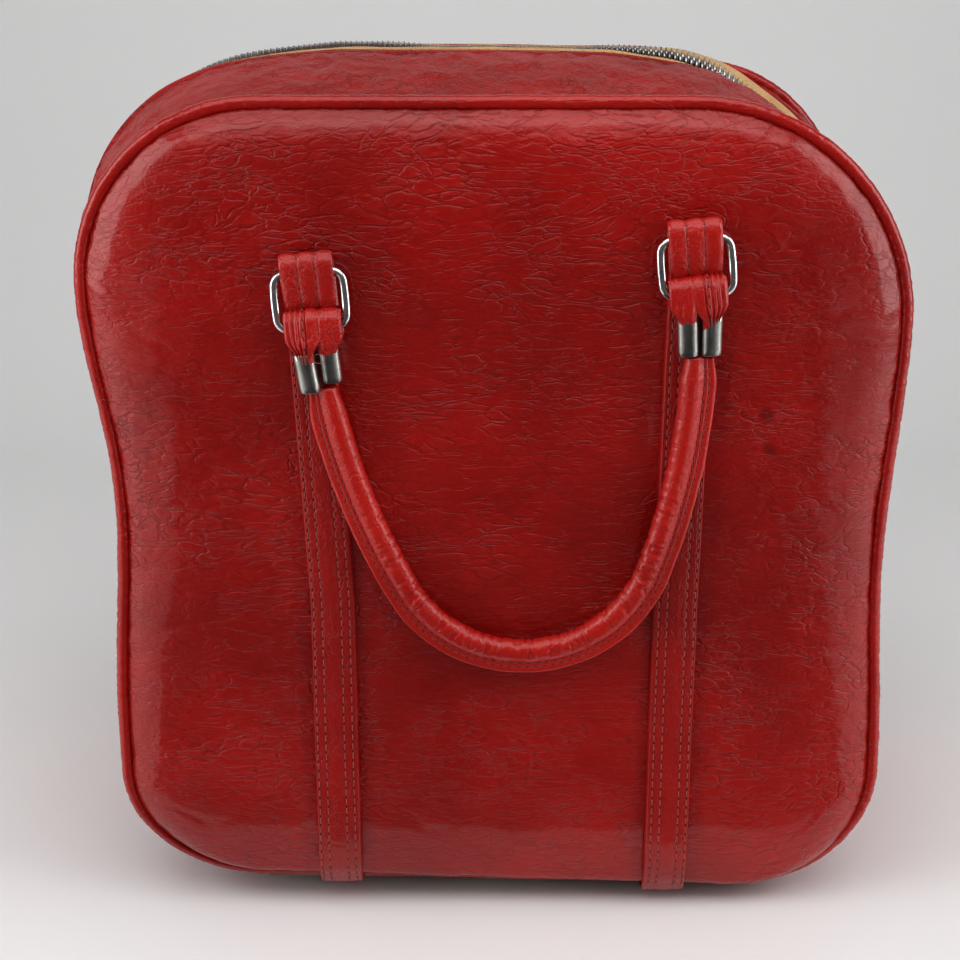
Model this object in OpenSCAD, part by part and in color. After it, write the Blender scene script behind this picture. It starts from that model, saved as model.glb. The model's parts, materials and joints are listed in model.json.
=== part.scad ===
// Bowling ball bag: two domed panels joined by a deep gusset, closed by a zipper that
// runs over the top and down both sides, with a ringed handle on each panel.
// The front faces -Y. The bag stands on its feet at Z = 0.

/* [Body] */
// Width of the front and back panels, from piping to piping
panel_w = 355; // [345:1:362]
// Height of the panels, from piping to piping
panel_h = 372; // [362:1:380]
// Depth of the gusset, from the front piping to the back piping
bag_d = 204; // [204:1:212]
// How far the middle of each panel stands out of its piping
dome = 10.3; // [9.5:0.1:11]
// Corner radius at the top left, seen from the front
corner_top_left = 78; // [70:1:90]
// Corner radius at the top right, seen from the front
corner_top_right = 95; // [80:1:100]
// Radius of the bottom corners
corner_bottom = 62; // [55:1:66]
// How far the left side draws in at the waist
waist_left = 6; // [2:0.5:7]
// How far the right side draws in at the waist
waist_right = 3; // [1:0.5:6]
// Radius of the piping
piping_r = 3; // [2.5:0.1:3.2]
// Height of the lowest piping above the floor
ground_gap = 7; // [7:0.1:9]
// Height where the soft sides start to fold outwards when the bag opens
fold_z = 85; // [80:1:95]

/* [Zipper] */
// Height of the zipper's lower ends
zip_end_z = 92; // [90:1:96]
// Half of the visible opening between the two gusset edges
zip_gap = 9.5; // [9:0.5:11]
// Travel of the slider along the straight run at the side
slider_travel = 30; // [20:1:32]

/* [Handles] */
// Width of a strap
strap_w = 20.5; // [19:0.5:21]
// Thickness of the padded strap on the panel
strap_t = 3.8; // [3:0.1:4]
// Slope of the line through the two rings, in degrees
handle_slope = 5; // [0:0.5:6]
// Half the distance between the rings
ring_span = 81.2; // [76:0.1:84]
// Diameter of the ring wire
wire_d = 3; // [2.6:0.1:3]
// Width of a ring between its wire centres
ring_w = 28.7; // [28:0.1:30]
// Height of a ring between its wire centres
ring_h = 23.1; // [22:0.1:24]
// Drop of the handle below the rings, to the middle of its grip
handle_drop = 158; // [150:1:160]
// Radius of the round bottom of the handle
handle_bend = 60; // [55:1:65]
// Radius of the padded roll of the handle
grip_r = 5.2; // [4.8:0.1:5.3]

/* [Ball] */
// Diameter of the ball that the bag carries
ball_d = 216; // [210:0.5:216]

/* [Hidden] */
$fn = 48;
vinyl = [0.66, 0.06, 0.07];
vinyl_dark = [0.50, 0.04, 0.05];
tape_tan = [0.80, 0.62, 0.36];
lining_grey = [0.30, 0.28, 0.27];
board_brown = [0.45, 0.36, 0.26];
steel = [0.80, 0.80, 0.82];
nickel = [0.86, 0.85, 0.82];
ferrule_steel = [0.36, 0.34, 0.33];
cradle_black = [0.13, 0.13, 0.14];

clear = 0.3;
skin = 1.4;
eps = 0.01;
mid_x = -2;
mid_z = ground_gap + panel_h / 2;
top_z = ground_gap + panel_h;
front_y = -bag_d / 2;
face_y = front_y - dome;
narrow_left = 5.7;

// Outline of the panels, as [x, z] points that run anticlockwise seen from the front.
arc_steps = 10;
side_steps = 10;
low_z = ground_gap + corner_bottom;
high_left_z = top_z - corner_top_left;
high_right_z = top_z - corner_top_right;
function ease(t) = t * t * (3 - 2 * t);
function wave(t) = pow(sin(180 * t), 2);
function right_x(z) =
    let (t = max(0, min(1, (z - low_z) / (high_right_z - low_z))))
    mid_x + panel_w / 2 - waist_right * wave(t);
function left_x(z) =
    let (t = max(0, min(1, (z - low_z) / (high_left_z - low_z))))
    mid_x - panel_w / 2 + narrow_left * (1 - ease(t)) + waist_left * wave(t);
function arc(cx, cz, r, a0, a1, steps = arc_steps) =
    [for (i = [0:steps]) let (a = a0 + (a1 - a0) * i / steps) [cx + r * cos(a), cz + r * sin(a)]];
function right_side(z0, z1, steps) =
    [for (i = [0:steps]) let (z = z0 + (z1 - z0) * i / steps) [right_x(z), z]];
function left_side(z0, z1, steps) =
    [for (i = [0:steps]) let (z = z0 + (z1 - z0) * i / steps) [left_x(z), z]];
function tail(list) = [for (i = [1:len(list) - 1]) list[i]];
function middle(list) = [for (i = [1:len(list) - 2]) list[i]];

top_left_cx = left_x(top_z) + corner_top_left;
top_right_cx = right_x(top_z) - corner_top_right;
top_run = [for (i = [1:7]) [top_right_cx + (top_left_cx - top_right_cx) * i / 8, top_z]];
base_left_cx = left_x(0) + corner_bottom;
base_right_cx = right_x(0) - corner_bottom;
base_run = [for (i = [1:7]) [base_left_cx + (base_right_cx - base_left_cx) * i / 8, ground_gap]];

// Heights from z up to top, at places that are the same for every z, so that sheets stay parallel.
function heights(z, top) = concat([z],
    [for (i = [1:side_steps]) let (h = fold_z + (top - fold_z) * i / side_steps) if (h > z + 4) h]);
function backwards(list) = [for (i = [len(list) - 1:-1:0]) list[i]];
function over_path(z) = concat(
    [for (h = heights(z, high_right_z)) [right_x(h), h]],
    tail(arc(top_right_cx, high_right_z, corner_top_right, 0, 90)),
    top_run,
    arc(top_left_cx, high_left_z, corner_top_left, 90, 180),
    tail(backwards([for (h = heights(z, high_left_z)) [left_x(h), h]])));
function under_path(z) = concat(
    left_side(z, low_z, 2),
    tail(arc(base_left_cx, low_z, corner_bottom, 180, 270)),
    base_run,
    arc(base_right_cx, low_z, corner_bottom, 270, 360),
    tail(right_side(low_z, z, 2)));
outline = concat(over_path(fold_z), middle(under_path(fold_z)));

// Outward normal of a path at its point i. The path runs anticlockwise.
function normal(path, i) =
    let (a = path[max(0, i - 1)], b = path[min(len(path) - 1, i + 1)], d = b - a)
    [d[1], -d[0]] / norm(d);
function ring_normal(path, i) =
    let (n = len(path), d = path[(i + 1) % n] - path[(i + n - 1) % n])
    [d[1], -d[0]] / norm(d);
function inset(path, d) = [for (i = [0:len(path) - 1]) path[i] - ring_normal(path, i) * d];

// How far the middle of the gusset stands out of the outline, by the angle around the bag.
crown_table = [
    [-90, 0], [-50, 0], [-33, 3], [-8, 3], [8, 12], [22, 20], [36, 8], [46, -3], [54, -3], [61, 4],
    [66, 8], [74, 13], [90, 14], [112, 14], [120, 9], [128, 8], [138, 10], [155, 14], [170, 10],
    [186, 3], [213, 8], [235, 0], [270, 0]];
function around(p) = let (a = atan2(p[1] - mid_z, p[0] - mid_x)) a < -90 ? a + 360 : a;
function crown(p) = lookup(around(p), crown_table);
function bulge(y) = 1 - pow(y / front_y, 2);
function skin_point(path, i, y, off) =
    let (n = normal(path, i), d = crown(path[i]) * bulge(y) + off)
    [path[i][0] + n[0] * d, y, path[i][1] + n[1] * d];

// A curved sheet along a path, between two depths, from offset lo to offset hi.
module sheet(path, ys, lo, hi) {
    n = len(path);
    m = len(ys);
    function at(i, j, side) = side * n * m + i * m + j;
    points = [for (off = [hi, lo]) for (i = [0:n - 1]) for (y = ys) skin_point(path, i, y, off)];
    function quad(a, b, c, d) = [[a, b, c], [a, c, d]];
    outer = [for (i = [0:n - 2]) for (j = [0:m - 2]) each
        quad(at(i, j, 0), at(i, j + 1, 0), at(i + 1, j + 1, 0), at(i + 1, j, 0))];
    inner = [for (i = [0:n - 2]) for (j = [0:m - 2]) each
        quad(at(i, j, 1), at(i + 1, j, 1), at(i + 1, j + 1, 1), at(i, j + 1, 1))];
    near = [for (i = [0:n - 2]) each quad(at(i, 0, 0), at(i + 1, 0, 0), at(i + 1, 0, 1), at(i, 0, 1))];
    far = [for (i = [0:n - 2]) each
        quad(at(i, m - 1, 0), at(i, m - 1, 1), at(i + 1, m - 1, 1), at(i + 1, m - 1, 0))];
    first = [for (j = [0:m - 2]) each quad(at(0, j, 0), at(0, j, 1), at(0, j + 1, 1), at(0, j + 1, 0))];
    last = [for (j = [0:m - 2]) each
        quad(at(n - 1, j, 0), at(n - 1, j + 1, 0), at(n - 1, j + 1, 1), at(n - 1, j, 1))];
    polyhedron(points, concat(outer, inner, near, far, first, last));
}

// A round tube of radius r along a path, in the plane at depth y.
module welt(path, y, r) {
    sides = 10;
    n = len(path);
    points = [for (i = [0:n - 1]) for (k = [0:sides - 1])
        let (v = normal(path, i), c = r * cos(360 * k / sides), s = r * sin(360 * k / sides))
        [path[i][0] + v[0] * c, y + s, path[i][1] + v[1] * c]];
    wall = [for (i = [0:n - 2]) for (k = [0:sides - 1])
        let (a = i * sides + k, b = i * sides + (k + 1) % sides)
        each [[a, b, b + sides], [a, b + sides, a + sides]]];
    start = [[for (k = [0:sides - 1]) sides - 1 - k]];
    end = [[for (k = [0:sides - 1]) (n - 1) * sides + k]];
    polyhedron(points, concat(wall, start, end));
}

// A shallow domed slab that grows from the piping plane, and the shell made from it.
rim_inset = piping_r + 0.5;
rim_step = dome * 0.6;
module dome_solid(edge, lift) {
    rim_scale = 0.955;
    face_scale = 0.88;
    module slab() translate([-mid_x, -mid_z, 0]) polygon(inset(outline, edge));
    translate([mid_x, front_y + lift, mid_z]) rotate([90, 0, 0]) {
        linear_extrude(height = rim_step, scale = rim_scale) slab();
        translate([0, 0, rim_step])
            linear_extrude(height = dome - rim_step, scale = face_scale) scale(rim_scale) slab();
    }
}
module dome_shell(edge, lift, t) {
    difference() {
        dome_solid(edge, lift);
        translate([0, t, 0]) dome_solid(edge + t, lift);
        translate([mid_x, front_y + lift + 4, mid_z]) cube([500, 8 - 2 * eps, 500], center = true);
    }
}
module above_fold() translate([-300, -200, fold_z + clear]) cube([600, 400, 400]);
module below_fold() translate([-300, -200, -50]) cube([600, 400, fold_z - clear + 50]);
module to_back() mirror([0, 1, 0]) children();

// Panels
module panel_over() intersection() { dome_shell(rim_inset, 0, skin); above_fold(); }
module panel_under() intersection() { dome_shell(rim_inset, 0, skin); below_fold(); }
module front_panel() color(vinyl) panel_over();
module back_panel() color(vinyl) to_back() panel_over();
module front_panel_base() color(vinyl) panel_under();
module back_panel_base() color(vinyl) to_back() panel_under();

// Stiffener boards and linings, inside the panels
board_t = 1.8;
board_y = face_y + skin + 0.2;
lining_t = 0.6;
module stiffener() {
    translate([0, board_y + board_t, 0]) rotate([90, 0, 0]) linear_extrude(height = board_t)
        intersection() {
            polygon(inset(outline, 44));
            translate([-200, fold_z + 10]) square([400, 400]);
        }
}
module lining() {
    translate([0, board_y + board_t + 0.2 + lining_t, 0]) rotate([90, 0, 0])
        linear_extrude(height = lining_t) intersection() {
            polygon(inset(outline, 32));
            translate([-200, fold_z + 4]) square([400, 400]);
        }
}
module front_stiffener() color(board_brown) stiffener();
module back_stiffener() color(board_brown) to_back() stiffener();
module front_lining() color(lining_grey) lining();
module back_lining() color(lining_grey) to_back() lining();

// Piping round the panels
module front_piping() color(vinyl_dark) welt(over_path(fold_z + clear), front_y, piping_r);
module back_piping() color(vinyl_dark) to_back() front_piping();
module front_piping_base() color(vinyl_dark) welt(under_path(fold_z - clear), front_y, piping_r);
module back_piping_base() color(vinyl_dark) to_back() front_piping_base();

// Gusset: two halves above the fold line and one piece round the base
gusset_in = -0.6;
gusset_out = 0.8;
seam_y = front_y + piping_r + clear;
function depths(y0, y1, steps) = [for (i = [0:steps]) y0 + (y1 - y0) * i / steps];
module front_gusset() color(vinyl)
    sheet(over_path(fold_z + clear), depths(seam_y, -zip_gap, 8), gusset_in, gusset_out);
module back_gusset() color(vinyl)
    sheet(over_path(fold_z + clear), depths(zip_gap, -seam_y, 8), gusset_in, gusset_out);
module base_gusset() color(vinyl)
    sheet(under_path(fold_z - clear), depths(seam_y, -seam_y, 8), gusset_in, gusset_out);

// Zipper: tapes, rows of teeth, stops, end tabs, slider and pull
slider_len = 16;
slider_start = 2;
// Height up to which the zipper stays with the base of the bag.
zip_split_z = zip_end_z + slider_start + slider_len + slider_travel + 6;
tape_lo = gusset_in - 1.2;
tape_hi = gusset_in - 0.5;
tape_edge = 3.4;
tape_out = 15.5;
row_lo = -1.9;
row_hi = 2.1;
row_in = 0.9;
row_out = 3.1;
chain_path = over_path(zip_split_z + clear);
right_run = right_side(zip_end_z, zip_split_z, 6);
left_run = left_side(zip_split_z, zip_end_z, 6);
module both_runs(y0, y1, lo, hi) for (run = [right_run, left_run]) {
    sheet(run, [y0, y1], lo, hi);
    sheet(run, [-y1, -y0], lo, hi);
}
module zip_tape_front() color(tape_tan) sheet(chain_path, [-tape_out, -tape_edge], tape_lo, tape_hi);
module zip_tape_back() color(tape_tan) sheet(chain_path, [tape_edge, tape_out], tape_lo, tape_hi);
module zip_tape_base() color(tape_tan) both_runs(-zip_gap + clear, -tape_edge, tape_lo, tape_hi);
module zip_teeth_front() color(nickel) sheet(chain_path, [-row_out, -0.15], row_lo, row_hi);
module zip_teeth_back() color(nickel) sheet(chain_path, [0.15, row_out], row_lo, row_hi);
module zip_teeth_base() color(nickel) both_runs(-row_out, -row_in, row_lo, row_hi);

function run_point(run, i, off) = skin_point(run, i, 0, off);
slide_foot = run_point(right_run, 0, 0);
slide_head = run_point(right_run, len(right_run) - 1, 0);
slide_dir = (slide_head - slide_foot) / norm(slide_head - slide_foot);
slide_tilt = atan2(slide_dir[0], slide_dir[2]);
left_foot = run_point(left_run, len(left_run) - 1, 0);

// Places its children on the zipper's right run: X points out of the bag, Z up along the run.
module on_slide(up) translate(slide_foot + slide_dir * up) rotate([0, slide_tilt, 0]) children();
stop_t = 1.2;
module zip_stops() color(nickel) {
    for (side = [-1, 1]) on_slide(-stop_t - 0.2) translate([0, side * 2, stop_t / 2])
        cube([3.6, 2.2, stop_t], center = true);
    translate(left_foot - [0, 0, stop_t / 2 + 0.2]) cube([3.6, 7, stop_t], center = true);
}
tab_h = 12;
module zip_end_tabs() color(vinyl_dark) {
    sheet(right_side(fold_z - clear - tab_h, fold_z - clear, 3), depths(-12, 12, 4), 1.1, 2.5);
    sheet(left_side(fold_z - clear, fold_z - clear - tab_h, 3), depths(-12, 12, 4), 1.1, 2.5);
}
slider_w = 11.5;
plate_t = 1.3;
module slider_plate() linear_extrude(height = plate_t, center = true) intersection() {
    square([slider_len, slider_w], center = true);
    circle(d = slider_len + 1.5);
}
bridge_x = row_hi + 0.5 + plate_t;
module zip_slider() color(nickel) on_slide(slider_start + slider_len / 2) {
    translate([row_hi + 0.5 + plate_t / 2, 0, 0]) rotate([0, 90, 0]) slider_plate();
    translate([row_lo - 0.5 - plate_t / 2, 0, 0]) rotate([0, 90, 0]) slider_plate();
    translate([(row_lo + row_hi) / 2, 0, -slider_len / 2 + 3])
        cube([row_hi - row_lo + 1 + plate_t, 1.2, 5.8], center = true);
    translate([bridge_x, 0, 0]) rotate([90, 0, 0]) linear_extrude(height = 3, center = true)
        difference() {
            intersection() {
                circle(r = 4.4);
                translate([-0.5, -5]) square([6, 10]);
            }
            circle(r = 3);
            translate([-1, -5]) square([1, 10]);
        }
}
pull_pin_r = 1.1;
pull_x = bridge_x + 1.5;
module zip_pull() color(nickel) on_slide(slider_start + slider_len / 2) translate([pull_x, 0, 0]) {
    rotate([90, 0, 0]) cylinder(r = pull_pin_r, h = 8.6, center = true);
    for (side = [-1, 1]) translate([0, side * 3.5, -5]) cube([1.8, 1.6, 10], center = true);
    translate([0, 0, -19]) rotate([90, 0, 90]) linear_extrude(height = 1.8, center = true)
        difference() {
            union() {
                square([8.6, 19], center = true);
                translate([0, -9.5]) circle(d = 8.6);
            }
            translate([0, -8.5]) circle(d = 4);
        }
}

// Inside of the base: board, lining and the ring that holds the ball still
base_y = -seam_y - 4;
base_floor = ground_gap - gusset_in + clear;
base_board_t = 3;
base_half_x = 111;
module base_plate(half_x, half_y, z, t) translate([(base_left_cx + base_right_cx) / 2, 0, z])
    linear_extrude(height = t) square([2 * half_x, 2 * half_y], center = true);
module base_board() color(board_brown) base_plate(base_half_x, base_y, base_floor, base_board_t);
module base_lining() color(lining_grey)
    base_plate(base_half_x, base_y, base_floor + base_board_t + 0.2, 0.7);
cradle_z = base_floor + base_board_t + 1.2;
cradle_in = 58;
cradle_out = 72;
ball_z = cradle_z + 2 + ball_d / 2;
function ball_height(r) = ball_z - sqrt(pow(ball_d / 2, 2) - r * r);
module ball_cradle() color(cradle_black) translate([mid_x, 0, 0]) rotate_extrude($fn = 72)
    polygon(concat(
        [[cradle_in, cradle_z], [cradle_out, cradle_z]],
        [for (i = [0:6]) let (r = cradle_out - (cradle_out - cradle_in) * i / 6) [r, ball_height(r) - 0.3]]));
foot_r = 8;
foot_x = 105;
foot_y = 68;
module base_feet() color(nickel) for (x = [-foot_x, foot_x]) for (y = [-foot_y, foot_y])
    translate([x, y, 0]) rotate_extrude() polygon([
        [0, 0], [foot_r - 2.5, 0], [foot_r, 3], [foot_r, ground_gap - gusset_out - 0.1],
        [0, ground_gap - gusset_out - 0.1]]);

// Straps: a run up each panel, a run under the base, and a loop at the top
strap_face = face_y - 0.3 - strap_t;
ring_axis_y = strap_face - clear - wire_d / 2;
loop_w = 21.5;
loop_leg = 2.2;
loop_up = 8.5;
loop_down = 14;
loop_front = ring_axis_y - wire_d / 2 - clear - loop_leg;
ring_mid = [mid_x + 2.2, ring_axis_y, 317.6];
slope_dir = [cos(handle_slope), 0, sin(handle_slope)];
strap_low_x = [mid_x - 72.3, mid_x + 81];
// Loop centres along the sloping line, on the front as seen and level on the back.
function loop_at(side) = ring_mid + slope_dir * (side * ring_span);
strap_x = [loop_at(-1)[0], loop_at(1)[0]];
module strap_run(k) {
    x = strap_x[k];
    top = loop_at(2 * k - 1)[2] - loop_down - 0.5;
    bend_z = fold_z + 75;
    translate([0, strap_face + strap_t, 0]) rotate([90, 0, 0]) linear_extrude(height = strap_t)
        polygon([
            [strap_low_x[k] - strap_w / 2, fold_z + clear], [strap_low_x[k] + strap_w / 2, fold_z + clear],
            [strap_low_x[k] + strap_w / 2, bend_z], [x + strap_w / 2, top - 2],
            [x - strap_w / 2, top - 2], [strap_low_x[k] - strap_w / 2, bend_z]]);
}
under_t = 2.4;
// The points of the other half, in reverse order.
function flipped(points) = [for (i = [len(points) - 1:-1:0]) [-points[i][0], points[i][1]]];
module strap_under(k) {
    y0 = -strap_face;
    y1 = -face_y + 0.3;
    z0 = ground_gap - piping_r - clear;
    side = [[y0, fold_z - clear], [y0, 40], [y0 - 1.8, 20], [y0 - 5, 9], [y0 - 8.5, z0 + 0.3],
        [y0 - 14, z0 - under_t]];
    inside = [[y0 - 15, z0], [-front_y + piping_r + 0.6, 5], [-front_y + piping_r + 1.6, 12],
        [y1 - 1.8, 20], [y1, 38], [y1, fold_z - clear]];
    loop = concat(side, flipped(side), flipped(inside), inside);
    translate([strap_low_x[k], 0, 0]) rotate([90, 0, 90])
        linear_extrude(height = strap_w, center = true) polygon(loop);
}
module strap_loop(side) {
    translate(loop_at(side)) rotate([0, -handle_slope, 0]) difference() {
        rotate([90, 0, 90]) linear_extrude(height = loop_w, center = true) {
            depth = strap_face + strap_t - loop_front;
            translate([loop_front - ring_axis_y, -loop_down]) square([depth, loop_down + loop_up - 4]);
            translate([loop_front - ring_axis_y + depth / 2, loop_up - 4]) intersection() {
                circle(d = depth);
                translate([-depth, 0]) square([2 * depth, 4]);
            }
        }
        rotate([0, 90, 0]) cylinder(r = wire_d / 2 + clear, h = 2 * loop_w, center = true);
    }
}
module front_strap_left() color(vinyl) strap_run(0);
module front_strap_right() color(vinyl) strap_run(1);
module back_strap_left() color(vinyl) to_back() strap_run(0);
module back_strap_right() color(vinyl) to_back() strap_run(1);
module base_strap_left() color(vinyl) strap_under(0);
module base_strap_right() color(vinyl) strap_under(1);
module front_strap_loops() color(vinyl) for (side = [-1, 1]) strap_loop(side);
module back_strap_loops() color(vinyl) to_back() front_strap_loops();

// Rings: they hang from the loops and lean out at the bottom by ring_lean
ring_lean = 10;
ring_bend = 4;
module at_ring(side) translate(loop_at(side)) rotate([0, -handle_slope, 0]) rotate([-ring_lean, 0, 0]) children();
module ring(side) at_ring(side) {
    half_w = ring_w / 2 - ring_bend;
    half_h = ring_h / 2 - ring_bend;
    translate([0, 0, -ring_h / 2]) {
        for (s = [-1, 1]) {
            translate([0, 0, s * ring_h / 2]) rotate([0, 90, 0])
                cylinder(d = wire_d, h = 2 * half_w, center = true);
            translate([s * ring_w / 2, 0, 0]) cylinder(d = wire_d, h = 2 * half_h, center = true);
        }
        for (k = [0:3]) translate([(k == 0 || k == 3 ? 1 : -1) * half_w, 0, (k < 2 ? 1 : -1) * half_h])
            rotate([90, 0, 0]) rotate([0, 0, 90 * k]) rotate_extrude(angle = 90)
                translate([ring_bend, 0]) circle(d = wire_d);
    }
}
module front_ring_left() color(steel) ring(-1);
module front_ring_right() color(steel) ring(1);
module back_ring_left() color(steel) to_back() ring(-1);
module back_ring_right() color(steel) to_back() ring(1);

// Handle: its frame has the two lower ring bars on X and hangs down -Z
handle_origin = ring_mid + [sin(handle_slope) * ring_h * cos(ring_lean), -ring_h * sin(ring_lean),
    -cos(handle_slope) * ring_h * cos(ring_lean)];
module in_handle() translate(handle_origin) rotate([0, -handle_slope, 0]) children();
grip_w = 15.5;
grip_top = 29;
flange_t = 5.6;
// Radius of the long side arcs, which meet the round bottom smoothly and start upright.
side_r = (pow(ring_span, 2) + pow(handle_drop - handle_bend, 2) - pow(handle_bend, 2))
    / (2 * (ring_span - handle_bend));
side_end = atan2(handle_drop - handle_bend, side_r - ring_span);
side_start = asin(grip_top / side_r);
core_r = 3;
// Cross-section of the handle across its line: +X is the outside of the bend.
roll_x = grip_r - grip_w / 2;
module grip_section() {
    difference() {
        union() {
            translate([roll_x, 0]) circle(r = grip_r);
            translate([roll_x, -flange_t / 2]) square([grip_w - grip_r - 0.5, flange_t]);
        }
        translate([roll_x, 0]) circle(r = core_r + 0.15);
    }
}
// Sweeps a section along the handle's three arcs, which overlap by a hair so that they join.
lap = 0.05;
module along_handle() {
    for (side = [0, 1]) mirror([side, 0, 0]) translate([ring_span - side_r, 0, 0]) rotate([90, 0, 0])
        rotate([0, 0, -side_end - lap])
        rotate_extrude(angle = side_end - side_start + lap, $fn = 128)
            translate([side_r, 0]) children();
    translate([0, 0, handle_bend - handle_drop]) rotate([90, 0, 0]) rotate([0, 0, 180 + side_end])
        rotate_extrude(angle = 180 - 2 * side_end, $fn = 96) translate([handle_bend, 0]) children();
}
module handle_grip() in_handle() along_handle() grip_section();
function side_arc(mirrored, a0, a1) = [for (p = arc(ring_span - side_r, 0, side_r + roll_x, a0, a1, 12))
    [mirrored ? -p[0] : p[0], p[1]]];
core_path = concat(
    side_arc(false, -side_start, -side_end),
    middle(arc(0, handle_bend - handle_drop, handle_bend + roll_x, -side_end, side_end - 180, 36)),
    side_arc(true, -side_end, -side_start));
module handle_core() in_handle() welt(core_path, 0, core_r);
ferrule_r = 4.7;
strand_r = 4;
strand_gap = 4.8;
ferrule_mid = 19.5;
ferrule_len = 16;
eye_r = 5.1;
eye_w = 22.4;
// The eye's bore, wide enough for the ring's rounded corners.
eye_bore = wire_d / 2 + 0.9;
module at_end(side) translate([side * (ring_span - 0.5), 0, 0]) children();
module handle_ends() in_handle() for (side = [-1, 1]) at_end(side) difference() {
    union() {
        rotate([0, 90, 0]) cylinder(r = eye_r, h = eye_w, center = true);
        translate([0, 0, -6]) cube([2 * (strand_gap + strand_r), 2 * strand_r, 10], center = true);
        for (s = [-1, 1]) translate([s * strand_gap, 0, -grip_top + 0.4])
            cylinder(r = strand_r, h = grip_top - 4);
    }
    rotate([0, 90, 0]) cylinder(r = eye_bore, h = 2 * eye_w, center = true);
}
module ferrules() in_handle() for (side = [-1, 1]) for (s = [-1, 1])
    at_end(side) translate([s * strand_gap, 0, -ferrule_mid]) difference() {
        cylinder(r = ferrule_r, h = ferrule_len, center = true);
        cylinder(r = strand_r + 0.05, h = ferrule_len + 1, center = true);
    }
module front_handle_grip() color(vinyl) handle_grip();
module front_handle_core() color(board_brown) handle_core();
module front_handle_ends() color(vinyl_dark) handle_ends();
module front_ferrules() color(ferrule_steel) ferrules();
module back_handle_grip() color(vinyl) to_back() handle_grip();
module back_handle_core() color(board_brown) to_back() handle_core();
module back_handle_ends() color(vinyl_dark) to_back() handle_ends();
module back_ferrules() color(ferrule_steel) to_back() ferrules();

base_gusset();
front_panel_base();
back_panel_base();
front_piping_base();
back_piping_base();
base_board();
base_lining();
ball_cradle();
base_feet();
base_strap_left();
base_strap_right();
zip_tape_base();
zip_teeth_base();
zip_stops();
zip_end_tabs();
zip_slider();
zip_pull();
front_panel();
front_stiffener();
front_lining();
front_piping();
front_gusset();
zip_tape_front();
zip_teeth_front();
front_strap_left();
front_strap_right();
front_strap_loops();
front_ring_left();
front_ring_right();
front_handle_grip();
front_handle_core();
front_handle_ends();
front_ferrules();
back_panel();
back_stiffener();
back_lining();
back_piping();
back_gusset();
zip_tape_back();
zip_teeth_back();
back_strap_left();
back_strap_right();
back_strap_loops();
back_ring_left();
back_ring_right();
back_handle_grip();
back_handle_core();
back_handle_ends();
back_ferrules();
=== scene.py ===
import json
import math

import bmesh
import bpy
import numpy as np
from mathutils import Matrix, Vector, noise


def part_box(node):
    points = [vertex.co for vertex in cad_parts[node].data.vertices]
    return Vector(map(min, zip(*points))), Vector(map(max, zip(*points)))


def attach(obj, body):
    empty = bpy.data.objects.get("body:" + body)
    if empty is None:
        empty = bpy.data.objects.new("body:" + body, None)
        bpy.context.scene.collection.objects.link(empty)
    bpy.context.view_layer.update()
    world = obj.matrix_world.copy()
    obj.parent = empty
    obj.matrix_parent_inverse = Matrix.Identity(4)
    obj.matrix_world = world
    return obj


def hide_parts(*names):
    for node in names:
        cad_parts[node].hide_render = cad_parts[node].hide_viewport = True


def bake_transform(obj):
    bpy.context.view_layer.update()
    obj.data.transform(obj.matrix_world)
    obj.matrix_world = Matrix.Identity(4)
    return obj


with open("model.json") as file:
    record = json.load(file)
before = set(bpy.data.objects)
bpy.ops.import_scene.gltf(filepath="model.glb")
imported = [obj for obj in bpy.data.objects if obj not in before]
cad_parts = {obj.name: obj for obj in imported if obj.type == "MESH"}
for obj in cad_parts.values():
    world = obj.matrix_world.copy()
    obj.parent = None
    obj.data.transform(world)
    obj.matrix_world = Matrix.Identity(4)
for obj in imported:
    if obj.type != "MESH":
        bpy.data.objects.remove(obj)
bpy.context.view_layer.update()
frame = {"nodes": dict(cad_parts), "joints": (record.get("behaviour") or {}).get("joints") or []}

# Shapes are built in millimetres in the CAD frame, and a mesh is scaled to metres when it is made.
MM = 0.001

# ---------------------------------------------------------------- sizes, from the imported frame
PIPE_R = 3.0
CLEAR = 0.3
CORNER_TOP_LEFT = 78.0
CORNER_TOP_RIGHT = 95.0
CORNER_BOTTOM = 62.0
WAIST_LEFT = 9.0
WAIST_RIGHT = 5.2
NARROW_LEFT = 5.7
FOLD_Z = 85.0
ZIP_GAP = 9.5


def box_mm(node):
    low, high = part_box(node)
    return np.array(low) / MM, np.array(high) / MM


welt_low, welt_high = box_mm("front_piping")
welt_base_low, welt_base_high = box_mm("front_piping_base")
FRONT_Y = (welt_low[1] + welt_high[1]) / 2
TOP_Z = welt_high[2] - PIPE_R
BOTTOM_Z = welt_base_low[2] + PIPE_R
RIGHT_X = welt_high[0] - PIPE_R
LEFT_X = welt_low[0] + PIPE_R
MID_X = (LEFT_X + RIGHT_X) / 2
MID_Z = (BOTTOM_Z + TOP_Z) / 2
FACE_Y = box_mm("front_panel")[0][1]
DOME = FRONT_Y - FACE_Y
SEAM_Y = FRONT_Y + PIPE_R + CLEAR
# The back half of the soft bag leans a little to the right, as its piping shows at the shoulder.
BACK_SHIFT = 9.0

# Handle and rings, in the sloping plane of the two rings
SLOPE = math.radians(5)
LEAN = math.radians(10)
RING_SPAN = 81.2
RING_W = 28.7
RING_H = 23.1
WIRE_R = 1.5
RING_CORNER = 4.6
ring_low, ring_high = box_mm("front_ring_left")
SLOPE_X = np.array([math.cos(SLOPE), 0, math.sin(SLOPE)])
SLOPE_Y = np.array([0.0, 1.0, 0.0])
SLOPE_Z = np.array([-math.sin(SLOPE), 0, math.cos(SLOPE)])
HANDLE_DROP = 158.0
HANDLE_BEND = 60.0
GRIP_TOP = 29.0
STRAP_W = 20.5
STRAP_T = 3.8
STRAP_BACK = FACE_Y - CLEAR
STRAP_FACE = STRAP_BACK - STRAP_T


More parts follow.
